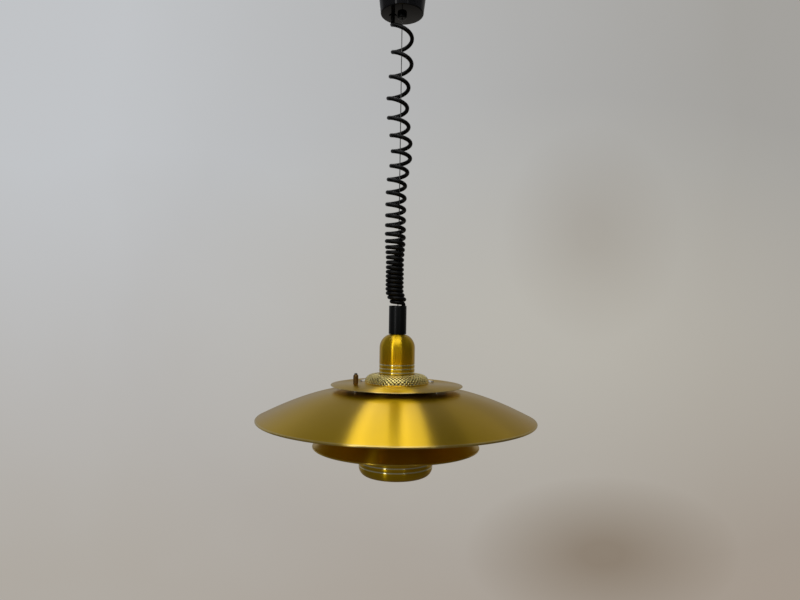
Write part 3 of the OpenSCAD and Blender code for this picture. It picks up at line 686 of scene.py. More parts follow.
def cut(thing: bpy.types.Object, tools: Surface) -> None:
    """Takes closed shapes out of a piece for good, with an exact difference.

    Args:
        thing: The piece, whose mesh is replaced by the cut one.
        tools: The shapes to take out.
    """
    tool = linked("cutter", tools.mesh("cutter"))
    modifier = thing.modifiers.new("cut", "BOOLEAN")
    modifier.operation, modifier.solver, modifier.object = "DIFFERENCE", "EXACT", tool
    graph = bpy.context.evaluated_depsgraph_get()
    result = bpy.data.meshes.new_from_object(thing.evaluated_get(graph))
    thing.modifiers.clear()
    thing.data = result
    result.set_sharp_from_angle(angle=math.radians(FOLD))
    bpy.data.objects.remove(tool)


# ---- Camera, light and backdrop ----


@dataclass
class Studio:
    """The camera at the photograph's place, a pale wall and floor, and soft lamps.

    The skylights are strips of one sheet over the lamp. It rises to the back by sky_slope
    a metre, and its middle line goes through sky_y and sky_z.
    """

    distance: float = 0.873
    eye_level: float = -0.5526
    eye_x: float = 0.003
    tilt_up: float = 0.0274
    roll: float = math.radians(0.85)
    lens: float = 26.95
    sensor: float = 36.0
    wall: Colour = (0.50, 0.475, 0.44)
    wall_y: float = 2.4
    wall_top: float = 2.6
    floor_z: float = -2.6
    floor_y: float = -6.0
    bend: float = 0.25
    half_width: float = 6.0
    bounce_span: tuple[float, float] = (-2.4, -1.2)
    bounce_least: float = 0.22
    bounce_more: float = 0.33
    room_least: float = 0.05
    sky_slope: float = 0.344
    sky_length: float = 2.8
    sky_y: float = 1.025
    sky_z: float = 0.495

    def camera(self) -> None:
        """Makes the camera: it looks along +Y, a little upwards, and rolls a little."""
        data = bpy.data.cameras.new("camera")
        data.lens, data.sensor_width = self.lens, self.sensor
        thing = linked("camera", data)
        thing.matrix_world = (
            Matrix.Translation((self.eye_x, -self.distance, self.eye_level))
            @ Matrix.Rotation(math.pi / 2 + self.tilt_up, 4, "X")
            @ Matrix.Rotation(self.roll, 4, "Z")
        )
        bpy.context.scene.camera = thing

    def paint(self, tree: Tree) -> Socket:
        """The wall's colour: cool and light at the upper left, warmer to the lower right.

        Its fall from light at the upper left to darker at the lower right is painted light. A pale patch, a
        painted pool of light, and two soft painted shadows of the lamp lie on it, each fading with the
        distance from its middle. A patch is its middle, its half width and height, its depth and its colour.

        Args:
            tree: The wall's material.

        Returns:
            The colour.
        """
        x, _, z = tree.axes(tree.place())
        cloud = tree.noise(tree.place(), 0.9, 3.0) - 0.5
        down = (z * -1.0 + cloud * 0.5).between(-0.3, 2.0)
        across = (x + cloud * 0.5).between(-1.6, 1.8)
        # Painted light: the wall is lit more at the upper left, and less and warmer to the lower right
        left = tree.mix(down, (0.535, 0.55, 0.57), (0.43, 0.40, 0.36))
        right = tree.mix(down, (0.37, 0.36, 0.34), (0.37, 0.32, 0.27))
        colour = tree.mix(across, left, right)
        # Painted light and shadow: the pale colour is a pool of light, the dark one two shadows of the lamp
        painted_shadow, pale = (0.19, 0.14, 0.09), (0.56, 0.54, 0.47)
        for at_x, at_z, wide, tall, depth, shade in (
            (0.9, -0.6, 2.4, 1.3, 0.45, pale),
            (1.12, -1.82, 0.75, 0.42, 0.62, painted_shadow),
            (1.05, -0.08, 0.5, 0.6, 0.2, painted_shadow),
        ):
            u, v = (x - at_x) / wide, (z - at_z) / tall
            near = 1.0 - (u * u + v * v).maths("SQRT").between(0.15, 1.0)
            colour = tree.mix(near * depth, colour, shade)
        return colour

    def backdrop(self) -> None:
        """Makes the floor and the wall behind the lamp, as one sheet with a round corner.

        The sheet runs from the front of the floor to the top of the wall: its outline is a
        level line, a quarter circle and an upright line, carried along X. It shows its own
        colour to the camera and gives the lamp a weaker light, more of it high on the wall.
        """
        middle = (self.wall_y - self.bend, self.floor_z + self.bend)
        corner = arc(middle, self.bend, (-90, 0), 12)
        line = np.vstack([[self.floor_y, self.floor_z], corner, [self.wall_y, self.wall_top]])
        across = (-self.half_width, self.half_width)
        points = np.stack(np.broadcast_arrays(across, line[:, :1], line[:, 1:]), axis=-1)
        thing = linked("backdrop", grid(points, False, False).mesh("backdrop"))
        material = bpy.data.materials.new("pale_wall")
        tree = Tree(material)
        colour = self.paint(tree)
        seen = tree.add("ShaderNodeLightPath", out="Is Camera Ray")
        high = tree.height().between(*self.bounce_span)
        bounce = high * self.bounce_more + self.bounce_least
        inputs = {"Color": colour, "Strength": seen + (1.0 - seen) * bounce}
        glow = tree.add("ShaderNodeEmission", None, inputs)
        tree.add("ShaderNodeOutputMaterial", None, {"Surface": glow})
        thing.data.materials.append(material)

    def lamp(
        self,
        name: str,
        at: Sequence[float],
        size: Sequence[float],
        glow: float,
        target: Sequence[float] | None = None,
    ) -> None:
        """Adds a soft rectangular lamp.

        Args:
            name: The lamp's name.
            at: Its middle.
            size: Its width and height.
            glow: Brightness of its face, where 1 is white.
            target: The point it faces, or None to face straight down.
        """
        data = bpy.data.lights.new(name, "AREA")
        data.shape, data.size, data.size_y = "RECTANGLE", *size
        data.energy = glow * math.pi * size[0] * size[1]
        thing = linked(name, data)
        turn = Matrix.Identity(4)
        if target is not None:
            way = Vector(target) - Vector(at)
            turn = way.to_track_quat("-Z", "Y").to_matrix().to_4x4()
        thing.matrix_world = Matrix.Translation(at) @ turn
        thing.visible_camera = False

    def light(self) -> None:
        """Makes the lamps, the room round them and the plain view settings.

        A skylight's row is its two ends along X, its lift over the sheet and its glow. A
        row of the room is a part of the direction, the values of it at which a band of
        light begins and is full, and the band's glow.
        """
        for name, low_x, high_x, lift, glow in (
            ("skylight", -0.32, 0.215, 0.0, 1.0),
            ("skylight_edge", -0.32, -0.2, -0.01, 0.38),
            ("skylight_middle", -0.06, 0.09, -0.02, 0.45),
            ("skylight_side", 0.53, 1.5, 0.0, 0.07),
        ):
            at = ((low_x + high_x) / 2, self.sky_y, self.sky_z + lift)
            below = (at[0], at[1] + self.sky_slope, at[2] - 1)
            self.lamp(name, at, (high_x - low_x, self.sky_length), glow, below)
        self.lamp("skylight_front", (-0.04, -0.6, 0.04), (0.72, 0.64), 1.8)
        self.lamp("left_strip", (-1.32, -2.12, 0.0), (0.3, 2.0), 3.2, (0, 0, 0))
        self.lamp("right_strip", (1.13, -2.23, 0.0), (0.08, 2.0), 0.9, (0, 0, 0))
        world = bpy.data.worlds.new("room")
        tree = Tree(world)
        x, y, z = tree.axes(tree.add("ShaderNodeTexCoord", out="Generated"))
        room: Socket | float = self.room_least
        for way, begins, full, glow in (
            (x * -1.0, 0.2, 0.34, 0.1),
            (x, 0.33, 0.36, 0.03),
            (y * -1.0, 0.84, 0.88, 0.12),
        ):
            room = room + way.between(begins, full) * glow
        room = room * z.between(-0.3, -0.05).maths("MAXIMUM", 0.3)
        seen = tree.add("ShaderNodeLightPath", out="Is Camera Ray")
        colour = tree.mix(seen, (0.97, 0.98, 1.0), self.wall)
        inputs = {"Color": colour, "Strength": seen + (1.0 - seen) * room}
        sky = tree.add("ShaderNodeBackground", None, inputs)
        tree.add("ShaderNodeOutputWorld", None, {"Surface": sky})
        bpy.context.scene.world = world
        bpy.context.scene.view_settings.view_transform = "Standard"


# ---- Wire and cord ----


@dataclass
class CurlyCord(SubAssembly):
    """The left-handed curly cord between the housing and the lamp's sleeve.

    Its middle line is worked out in millimetres. The count k of the curls goes up from
    -lead_in at the sleeve to curls under the housing, and every field that ends in from,
    over or peak is such a count. A bend is its first and last angle in degrees and its
    number of points. The thickness is the solid's, from which the levels follow, and the
    girth is what shows.
    """

    thickness: float = 5.6
    girth: float = 6.0
    curls: float = 27.0
    pitch: float = 6.1
    entry_r: float = 8.4
    low_r: float = 10.4
    mid_r: float = 12.6
    high_r: float = 14.6
    widen_from: float = 9.0
    widen_over: float = 5.0
    lead_in: float = 0.375
    rings: int = 32
    sides: int = 16
    open_from: float = 2.9
    open_power: float = 3.5
    ripple: float = 3.0
    ripple_from: float = 10.5
    ripple_step: float = math.radians(30)
    lean: float = 5.2
    lean_over: float = 3.0
    sway: float = 3.4
    sway_middle: float = -1.2
    sway_from: float = 17.0
    sway_over: float = 2.0
    sway_peak: float = 21.0
    sway_curls: float = 5.4
    settle_over: float = 1.5
    low_bend: tuple[float, float, int] = (90.0, 15.0, 10)
    high_bend: tuple[float, float, int] = (30.0, 90.0, 12)
    high_bend_r: float = 9.0
    last_slope: float = math.radians(27)
    straight: int = 4
    gap: float = 1.0
    closed_slack: float = 0.1
    low_held: int = 16
    high_held: int = 14

    def __post_init__(self) -> None:
        """Takes the levels at the cord's two ends from the frame."""
        sleeve_top = level("cord_sleeve", True) / MM
        self.grip_z = level("cord_grip", False) / MM
        first = math.atan(self.pitch / (TURN * self.entry_r))
        self.low_bend_r = TURN / 8 * self.entry_r / (1 - math.sin(first))
        low_end = sleeve_top + self.gap + self.thickness / 2
        self.coil_low = low_end + self.lead_in * self.pitch
        self.low_bend_z = low_end - self.low_bend_r * math.cos(first)
        self.high_bend_z = self.grip_z - self.thickness
        self.coil_high = self.high_bend_z - self.high_bend_r * math.cos(self.last_slope)

    def wave(self, k: Array | float) -> Array:
        """The ripple in the curls' levels: a sine that starts at ripple_from."""
        return self.ripple * np.sin(self.ripple_step * np.clip(k - self.ripple_from, 0, None))

    def height(self, k: Array) -> Array:
        """Level of the curls: an even pitch, then ever wider curls, with a ripple.

        To the pitch times k it adds the rise that is left, times the opened share of the
        curls to the power open_power, and takes off the wave.

        Args:
            k: Counts of curls.

        Returns:
            The levels.
        """
        rise = self.coil_high - self.coil_low - self.pitch * self.curls + self.wave(self.curls)
        opening = np.clip((k - self.open_from) / (self.curls - self.open_from), 0, None)
        return self.coil_low + self.pitch * k + rise * opening**self.open_power - self.wave(k)

    def reach(self, k: Array) -> Array:
        """Radius of the curls, which grows in three smooth steps.

        Args:
            k: Counts of curls.

        Returns:
            The radii.
        """
        last_step = (k - self.sway_from) / (self.curls - self.sway_from)
        return (
            self.entry_r
            + (self.low_r - self.entry_r) * smooth(k + self.lead_in)
            + (self.mid_r - self.low_r) * smooth((k - self.widen_from) / self.widen_over)
            + (self.high_r - self.mid_r) * smooth(last_step)
        )

    def side(self, k: Array) -> Array:
        """How far the curls' middle hangs to one side: closed ones lean, open ones sway.

        The sway is a cosine of k, and both die away towards the last curl.

        Args:
            k: Counts of curls.

        Returns:
            The shifts along X.
        """
        leaning = -self.lean * smooth((k + self.lead_in) / self.lean_over)
        turn = TURN * (k - self.sway_peak) / self.sway_curls
        swaying = self.sway_middle + self.sway * np.cos(turn)
        share = smooth((k - self.sway_from) / self.sway_over)
        settle = smooth((self.curls - k) / self.settle_over)
        return ((1 - share) * leaning + share * swaying) * settle

    def route(self) -> tuple[Array, Array]:
        """The middle line from the sleeve up.

        It is upright in the sleeve, bends into the coil, bends out of it and goes upright
        into the housing. Each part is its angle, its radius, its shift along X and its level.

        Returns:
            Points in metres, and unit vectors away from the coil's middle.
        """
        low_t = np.radians(np.linspace(*self.low_bend))
        low_a = TURN - self.low_bend_r / self.entry_r * (1 - np.sin(low_t))
        low_z = self.low_bend_z + self.low_bend_r * np.cos(low_t)
        k = np.arange(int((self.curls + self.lead_in) * self.rings) + 1)
        k = k / self.rings - self.lead_in
        high_t = np.radians(np.linspace(*self.high_bend))
        turn = self.high_bend_r / self.high_r
        exit_a = math.pi - turn * (1 - math.sin(self.last_slope))
        high_a = exit_a + turn * (1 - np.sin(high_t))
        high_z = self.high_bend_z - self.high_bend_r * np.cos(high_t)
        low, high = self.low_bend_z, self.high_bend_z
        seat = np.linspace(low - self.thickness, low - self.gap, self.straight)
        rise = np.linspace(high + self.gap, self.grip_z, self.straight)
        parts = (
            (0 * seat, self.entry_r, 0.0, seat),
            (low_a, self.entry_r, 0.0, low_z),
            (math.pi - TURN * k, self.reach(k), self.side(k), self.height(k)),
            (high_a, self.high_r, 0.0, high_z),
            (exit_a, self.high_r, 0.0, rise),
        )
        angle, r, x, z = np.hstack([np.array(np.broadcast_arrays(*part)) for part in parts])
        points = polar(r, angle, z)
        points[:, 0] += x
        return points * MM, polar(1.0, angle, 0.0)

    def build(self) -> None:
        path, out = self.route()
        radius = np.full((len(path), self.sides), self.girth / 2 * MM)
        cord = self.piece(
            "cord", swept(path, out, radius), CORD_JACKET, "cord_black", ["curly_cord"],
            ride=False,
        )
        self.tie(cord, path)

    def tie(self, cord: bpy.types.Object, path: Array) -> None:
        """Lets the cord stretch between the housing and the lamp.

        The share of the lamp's travel that a ring takes falls from 1 at the sleeve to 0 at
        the housing, in step with how far the curls stand open, so closed curls stay
        closed. All points of a ring have the same share, so the cord stays round.

        Args:
            cord: The piece.
            path: Its middle line.
        """
        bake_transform(cord, "housing", "lamp", tuple(path[-1]), tuple(path[0]))
        closed = (self.pitch - self.closed_slack) / self.rings * MM
        opened = np.clip(np.diff(path[:, 2]) - closed, 0, None)
        opened[: self.low_held] = opened[-self.high_held :] = 0
        share = 1 - np.concatenate([[0], np.cumsum(opened)]) / opened.sum()
        vertices = np.empty(len(cord.data.vertices) * 3)
        cord.data.vertices.foreach_get("co", vertices)
        gaps = np.linalg.norm(vertices.reshape(-1, 1, 3) - path, axis=2)
        weights = cord.data.attributes["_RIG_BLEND"].data
        weights.foreach_set("value", share[gaps.argmin(axis=1)].astype(np.float32))


@dataclass
class LiftWire(SubAssembly):
    """The stranded steel wire that carries the lamp."""

    diameter: float = 1.4 * MM
    strands: int = 6
    valley: float = 0.16
    lay_length: float = 9.0 * MM
    rings: int = 900
    sides: int = 24

    def build(self) -> None:
        """Makes the wire: its radius swells over each strand, and the strands twist."""
        low, high = levels("lift_wire")
        z = np.linspace(high, low, self.rings)
        path = np.outer(z, (0, 0, 1))
        out = np.tile([1.0, 0.0, 0.0], (self.rings, 1))
        twist = round_steps(self.sides) + (z / self.lay_length * TURN)[:, None]
        swell = 1 - self.valley * (1 - np.abs(np.cos(self.strands / 2 * twist)))
        wire = self.piece(
            "wire", swept(path, out, self.diameter / 2 * swell), WIRE_STEEL, "steel",
            ["lift_wire"], ride=False,
        )
        top, bottom = level("guide_bush", False), level("cord_sleeve", True)
        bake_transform(wire, "housing", "lamp", (0, 0, top), (0, 0, bottom))


# ---- Reel housing ----


@dataclass
class ReelHousing(SubAssembly):
    """The black housing, its wire guide, and the reel inside."""

    body: str = "housing"
    top_r: float = 46.0 * MM
    bottom_r: float = 31.6 * MM
    draft: float = 0.35 * MM
    wall: float = 2.2 * MM
    floor: float = 3.0 * MM
    boss_h: float = 10.0 * MM
    boss_wall: float = 4.0 * MM
    guide_r: float = 7.0 * MM
    guide_edge: tuple[float, float] = (0.5 * MM, 0.4 * MM)
    fit: float = 0.05 * MM
    shank_r: float = 5.0 * MM
    bore_r: float = 1.1 * MM

    def build(self) -> None:
        """Makes the cup and the guide, and dresses what is inside."""
        low, high = levels("housing_cup")
        boss_r = self.shank_r + self.boss_wall
        cup = rounded([
            (self.shank_r, low, 0),
            (self.bottom_r, low, 1.6 * MM),
            (self.top_r, high, 0.9 * MM),
            (self.top_r - self.wall, high, 0.9 * MM),
            (self.bottom_r + self.draft - self.wall, low + self.floor, 1.5 * MM),
            (boss_r, low + self.floor, 0.5 * MM),
            (boss_r, low + self.boss_h, 0.3 * MM),
            (self.shank_r, low + self.boss_h, 0),
        ])
        self.piece("housing", turned(cup), GLOSS_BLACK, "black_plastic", ["housing_cup"])
        tip, shank_top = levels("guide_bush")
        shank_r, (edge_w, edge_h) = self.shank_r - self.fit, self.guide_edge
        guide = rounded([
            (self.bore_r, tip, 0.4 * MM),
            (self.guide_r, tip, 1.6 * MM),
            (self.guide_r, low - edge_h, 0.1 * MM),
            (self.guide_r - edge_w, low, 0),
            (shank_r, low, 0),
            (shank_r, shank_top, 0.5 * MM),
            (self.bore_r, shank_top, 0.3 * MM),
        ])
        self.piece("guide", turned(guide, 96), SATIN_BLACK, "black_plastic", ["guide_bush"])
        dress(
            STEEL, "reel_frame", "hook_eye", "drum_axle", "axle_clip", "drum_winding",
            "spring_case", "power_spring", "terminal_screws", "bush_nut",
        )
        dress(IVORY, "wire_drum", "terminal_block")
        dress(SATIN_BLACK, "supply_grip", "cord_grip")
        dress(AGED_BRASS, "tension_nut")
        dress(FIBRE, "brake_washer")


# ---- Sleeve, bell and lampholder ----


@dataclass
class Grooves:
    """The bright grooves that are turned into an upright wall."""

    first: float
    pitch: float
    count: int
    width: float = 1.7 * MM
    depth: float = 0.3 * MM

    def places(self, foot: float) -> list[float]:
        """Levels of the grooves, from the top one down, over the wall's foot."""
        return [foot + self.first + i * self.pitch for i in range(self.count)][::-1]

    def outlines(self, radius: float, foot: float) -> list[Array]:
        """Outlines of the grooves, walked downwards.

        Args:
            radius: The wall's radius.
            foot: The level of its foot.

        Returns:
            Four points of radius and level for each groove.
        """
        half, depth = self.width / 2, self.depth
        one = np.array([[0, half], [-depth, 0.4 * half], [-depth, -0.4 * half], [0, -half]])
        return [one + (radius, z) for z in self.places(foot)]

    def finish(self, name: str, foot: float) -> Finish:
        """The gold finish with the bare metal in these grooves."""
        places, half = tuple(self.places(foot)), self.width / 2
        return replace(GOLD, name=name, mottle_scale=20.0, grooves=places, groove_half=half)


@dataclass
class BellGroup(SubAssembly):
    """The black sleeve, the bell with its bright grooves, and the lampholder inside."""

    sleeve_r: float = 12.8 * MM
    sleeve_wall: float = 2.0 * MM
    sleeve_bore: float = 1.1 * MM
    lid: float = 13.0 * MM
    cord_x: float = 8.4 * MM
    cord_hole_r: float = 3.2 * MM
    cord_hole_h: float = 9.2 * MM
    bell_r: float = 25.7 * MM
    crown_r: float = 7.0 * MM
    bore_r: float = 5.1 * MM
    shoulder: float = 20.0 * MM
    sheet: float = 1.0 * MM
    grooves: Grooves = field(default_factory=lambda: Grooves(3.4 * MM, 5.4 * MM, 3))

    def sleeve(self) -> None:
        """Makes the sleeve, with the hole where the cord goes in."""
        low, high = levels("cord_sleeve")
        inner_r, under = self.sleeve_r - self.sleeve_wall, high - self.lid
        outline = rounded([
            (self.sleeve_bore, high, 0.3 * MM),
            (self.sleeve_r, high, 1.0 * MM),
            (self.sleeve_r, low, 0.3 * MM),
            (inner_r, low, 0),
            (inner_r, under, 0),
            (self.sleeve_bore, under, 0),
        ])
        sleeve = self.piece(
            "sleeve", turned(outline, 128), SATIN_BLACK, "black_plastic", ["cord_sleeve"]
        )
        hole_low, hole_high = high - self.cord_hole_h, high + 2 * MM
        hole = np.array([
            (0, hole_low), (self.cord_hole_r, hole_low),
            (self.cord_hole_r, hole_high), (0, hole_high),
        ])
        cut(sleeve, turned(hole, 32).moved(np.array([self.cord_x, 0, 0])))

    def bell(self) -> None:
        """Makes the bell: a flat crown, an elliptic shoulder and a grooved wall."""
        low, high = levels("bell_cover")
        wide, tall, wall = self.bell_r - self.crown_r, self.shoulder, self.sheet
        centre, edge = (self.crown_r, high - tall), wall / 2
        outline = np.vstack([
            [[self.bore_r, high]],
            arc(centre, (wide, tall), (90, 0), 40),
            *self.grooves.outlines(self.bell_r, low),
            arc((self.bell_r - edge, low + edge), edge, (0, -180), 8),
            arc(centre, (wide - wall, tall - wall), (0, 90), 24),
            [[self.bore_r, high - wall]],
        ])
        finish = self.grooves.finish("spun_gold_bell", low)
        self.piece("bell", turned(outline), finish, "gold_aluminium", ["bell_cover"])

    def build(self) -> None:
        """Makes the sleeve and the bell, and dresses the lampholder."""
        self.sleeve()
        self.bell()
        dress(STEEL, "wire_anchor", "nipple", "nipple_nuts")
        dress(SATIN_BLACK, "holder_cap", "holder_sleeve", "shade_ring")
        dress(POLISHED_BRASS, "thread_shell", "centre_contact")
        dress(AGED_BRASS, "wire_ferrule")
        dress(IVORY, "holder_core")


# ---- Vent dome and disc ----


@dataclass
class VentDome(SubAssembly):
    """The perforated dome that lets the bulb's heat out.

    The sheet is divided into cells with a round hole in each. A cell's place is a column
    and a row, and odd columns are shifted by half a row. Rows are counted along the profile
    in steps that are a fixed share of the radius there, so every hole is round and the
    pattern gets finer towards the middle, as on a pressed sheet.
    """

    outer_r: float = 46.3 * MM
    flat_r: float = 33.0 * MM
    inner_r: float = 27.0 * MM
    foot: float = 2.5 * MM
    sheet: float = 0.7 * MM
    columns: int = 108
    pitch: float = 5.6 * MM
    hole_r: float = 1.28 * MM
    evenness: float = 0.35
    samples: int = 2000

    def __post_init__(self) -> None:
        """Works out the profile from under the bell down to the disc, and its rows."""
        low, high = levels("vent_dome")
        tall = high - low - self.foot
        curve = arc((self.flat_r, high - tall), (self.outer_r - self.flat_r, tall), (90, 0), 60)
        self.profile = np.vstack([[[self.inner_r, high]], curve, [[self.outer_r, low]]])
        steps = np.linalg.norm(np.diff(self.profile, axis=0), axis=1)
        self.run = np.concatenate([[0], steps]).cumsum()
        self.dense = np.linspace(0, self.run[-1], self.samples)
        r = np.interp(self.dense, self.run, self.profile[:, 0])
        self.share = np.concatenate([[0], np.cumsum(np.diff(self.dense) / r[1:])])
        self.rows = int(round(self.share[-1] / (self.pitch / self.outer_r)))

    def wrap(self, u: Array, v: Array) -> Array:
        """Lays cell coordinates on the dome.

        The row coordinate is turned into a length along the profile by its share, and the
        column coordinate into a part of a turn.

        Args:
            u: Column coordinate, one turn for all columns.
            v: Row coordinate from the bell outwards.

        Returns:
            Points of the same layout as u and v.
        """
        length = np.interp(v / self.rows * self.share[-1], self.share, self.dense)
        r, z = (np.interp(length, self.run, part) for part in self.profile.T)
        return polar(r, u / self.columns * TURN, z)

    def cell(self) -> tuple[Array, Array]:
        """One cell in units of a column and a row.

        Twelve points round the cell's edge face twelve points round its hole, which stand
        between an even spacing and the edge points' own directions.

        Returns:
            The 24 points, and the 12 faces between them.
        """
        edge = np.array([
            [0.5, 0.0], [0.5, 0.25], [0.5, 0.5], [0.0, 0.5], [-0.5, 0.5], [-0.5, 0.25],
            [-0.5, 0.0], [-0.5, -0.25], [-0.5, -0.5], [0.0, -0.5], [0.5, -0.5], [0.5, -0.25],
        ])
        size = np.array([TURN * self.outer_r / self.columns, self.pitch])
        angle = np.arctan2(*(edge * size).T[::-1])
        even = round_steps(len(edge))
        angle = even + self.evenness * ((angle - even + math.pi) % TURN - math.pi)
        hole = np.column_stack([np.cos(angle), np.sin(angle)]) * self.hole_r / size
        i = np.arange(len(edge))
        j = np.roll(i, -1)
        inner_i, inner_j = i + len(edge), j + len(edge)
        return np.vstack([edge, hole]), np.column_stack([inner_i, inner_j, j, i])

    def build(self) -> None:
        """Makes the perforated sheet, and closes its edges beside the shifted columns."""
        template, faces = self.cell()
        column, row = np.meshgrid(np.arange(self.columns), np.arange(self.rows), indexing="ij")
        row = row + 0.5 * (column % 2)
        keep = row + 1 <= self.rows
        u = column[keep][:, None] + template[:, 0]
        v = row[keep][:, None] + 0.5 + template[:, 1]
        starts = np.arange(len(u))[:, None, None] * len(template)
        parts = [Surface(self.wrap(u, v).reshape(-1, 3), (faces + starts).reshape(-1, 4))]
        u, v = np.meshgrid(np.linspace(-0.5, 0.5, 3), np.linspace(0, 0.5, 3), indexing="ij")
        for low_v in (0.0, self.rows - 0.5):
            for odd in range(1, self.columns, 2):
                parts.append(grid(self.wrap(odd + u, low_v + v), False, False))
        dome = self.piece(
            "dome", together(parts), VENT_BRASS, "gold_aluminium", ["vent_dome"], sharp=50
        )
        wall = dome.modifiers.new("wall", "SOLIDIFY")
        wall.thickness, wall.offset = self.sheet, -1.0
        # The inside of the sheet gets the near-black painted shade
        dome.data.materials.append(INSIDE_SHADE.build())
        wall.material_offset = 1


@dataclass
class DiscGroup(SubAssembly):
    """The disc with its air slots, the knob nut and the white reflector under it."""

    disc_r: float = 95.4 * MM
    sheet: float = 1.0 * MM
    droop: float = 2.4 * MM
    level_r: float = 72.0 * MM
    hole_r: float = 38.0 * MM
    worn_glint_edge: float = 0.9 * MM
    slot_r: float = 51.0 * MM
    slot_w: float = 4.5 * MM
    slot_half: float = math.radians(14)
    slot_angles: tuple[float, ...] = (30.0, 150.0, 270.0)
    slot_reach: float = 4.0 * MM
    knob_r: float = 3.6 * MM
    knob_bore: float = 2.05 * MM
    knob_foot: tuple[float, float] = (1.6 * MM, 2.4 * MM)
    knob_top: float = 56.0
    knob_dip: float = 0.2
    rod_ring: float = 66.0 * MM
    knob_angle: float = math.radians(210)
    lip_angles: tuple[float, ...] = (30.0, 150.0)
    lip_wall: float = 0.8 * MM
    lip_rise: float = 1.3 * MM
    lip_fold: float = 4.2 * MM
    lip_share: float = 0.95
    lip_gap: float = 0.3 * MM
    lip_tilt: float = 0.4 * MM

    def slots(self, z: float) -> Surface:
        """The shapes of the slots: bent bars with round ends, standing through a level.

        Args:
            z: The level.

        Returns:
            The bars as one surface.
        """
        half = self.slot_w / 2
        turn = np.linspace(-self.slot_half, self.slot_half, 24)
        end = np.radians(np.linspace(-90, 90, 9)[1:-1])
        tip, tip_r = half / self.slot_r * np.cos(end), self.slot_r + half * np.sin(end)
        inner, outer = (self.slot_r + side * half + 0 * turn for side in (-1, 1))
        r = np.concatenate([inner, tip_r, outer, tip_r[::-1]])[::-1]
        a = np.concatenate([turn, turn[-1] + tip, turn[::-1], turn[0] - tip])[::-1]
        bars = []
        for at in np.radians(self.slot_angles):
            low, high = z - self.slot_reach, z + self.slot_reach
            rings = np.stack([polar(r, a + at, low), polar(r, a + at, high)])
            bars.append(
                capped(rings, polar(self.slot_r, at, low), polar(self.slot_r, at, high))
            )
        return together(bars)

    def disc(self) -> None:
        """Makes the disc: level in the middle, then falling on a parabola to a round edge."""
        high = level("top_disc", True)
        half = self.sheet / 2
        end = self.disc_r - half
        r = np.linspace(self.level_r, end, 24)
        z = high - self.droop * ((r - self.level_r) / (self.disc_r - self.level_r)) ** 2
        outline = np.vstack([
            [[self.hole_r, high]],
            np.column_stack([r, z]),
            arc((end, z[-1] - half), half, (80, -90), 8),
            np.column_stack([r, z - self.sheet])[::-1][1:],
            [[self.hole_r, high - self.sheet]],
        ])
        # The disc's underside gets a darker gold painted shade, and its rim paler patches that are partly
        # wear and partly a painted highlight of its glint
        finish = replace(
            GOLD, name="spun_gold_disc", worn_glint=0.7, worn_glint_from=self.disc_r - self.worn_glint_edge,
            painted_shade=(0.5, 0.38, 0.02), painted_shade_from=1.0 * MM, painted_shade_facing=-0.6,
        )
        disc = self.piece("disc", turned(outline), finish, "gold_aluminium", ["top_disc"])
        cut(disc, self.slots(high))

    def knob(self) -> None:
        """Makes the knob nut: a pillar that is drawn in at the foot and round at the top."""
        low, high = levels("knob_nut")
        r, (foot_w, foot_h) = self.knob_r, self.knob_foot
        outline = np.vstack([
            [[self.knob_bore, low], [r - foot_w, low]],
            arc((r - foot_w, low + foot_h), (foot_w, foot_h), (-90, 0), 8),
            arc((0.0, high - r), r, (0, self.knob_top), 14),
            [[self.knob_bore, high - self.knob_dip * r]],
        ])
        at = polar(self.rod_ring, self.knob_angle, 0.0)
        self.piece(
            "knob", turned(outline, 64).moved(at), AGED_BRASS, "old_brass", ["knob_nut"]
        )

    def lips(self) -> None:
        """Makes the reflector's white lips, which rise through the slots and fold outwards.

        Each lip's section is a bent strip, carried along the slot's arc. Its end sections
        are closed by drawing them to their middle.
        """
        low, top = level("inner_reflector", True), level("top_disc", True) + self.lip_rise
        outer = self.slot_r + self.slot_w / 2 - self.lip_gap
        wall, end, end_z = self.lip_wall, outer + self.lip_fold, top + self.lip_tilt
        r, z = rounded([
            (outer - wall, low, 0),
            (outer - wall, top, 0.9 * MM),
            (end, end_z, 0.3 * MM),
            (end, end_z - wall, 0.3 * MM),
            (outer, top - wall, 0.2 * MM),
            (outer, low, 0),
        ]).T
        along = np.linspace(-1, 1, 25)[:, None] * self.slot_half * self.lip_share
        lips = []
        for at in np.radians(self.lip_angles):
            rings = polar(r, at + along, z)
            lips.append(capped(rings, rings[0].mean(axis=0), rings[-1].mean(axis=0)))
        self.piece("lips", together(lips), WHITE, "white_paint")

    def build(self) -> None:
        """Makes the disc, the knob and the lips, and dresses the reflector."""
        self.disc()
        self.knob()
        self.lips()
        dress(WHITE, "inner_reflector", "glare_collar")
        dress(WIRE_STEEL, "disc_spacers")
        dress(STEEL, "shade_spacers")


# ---- Shades and cup ----


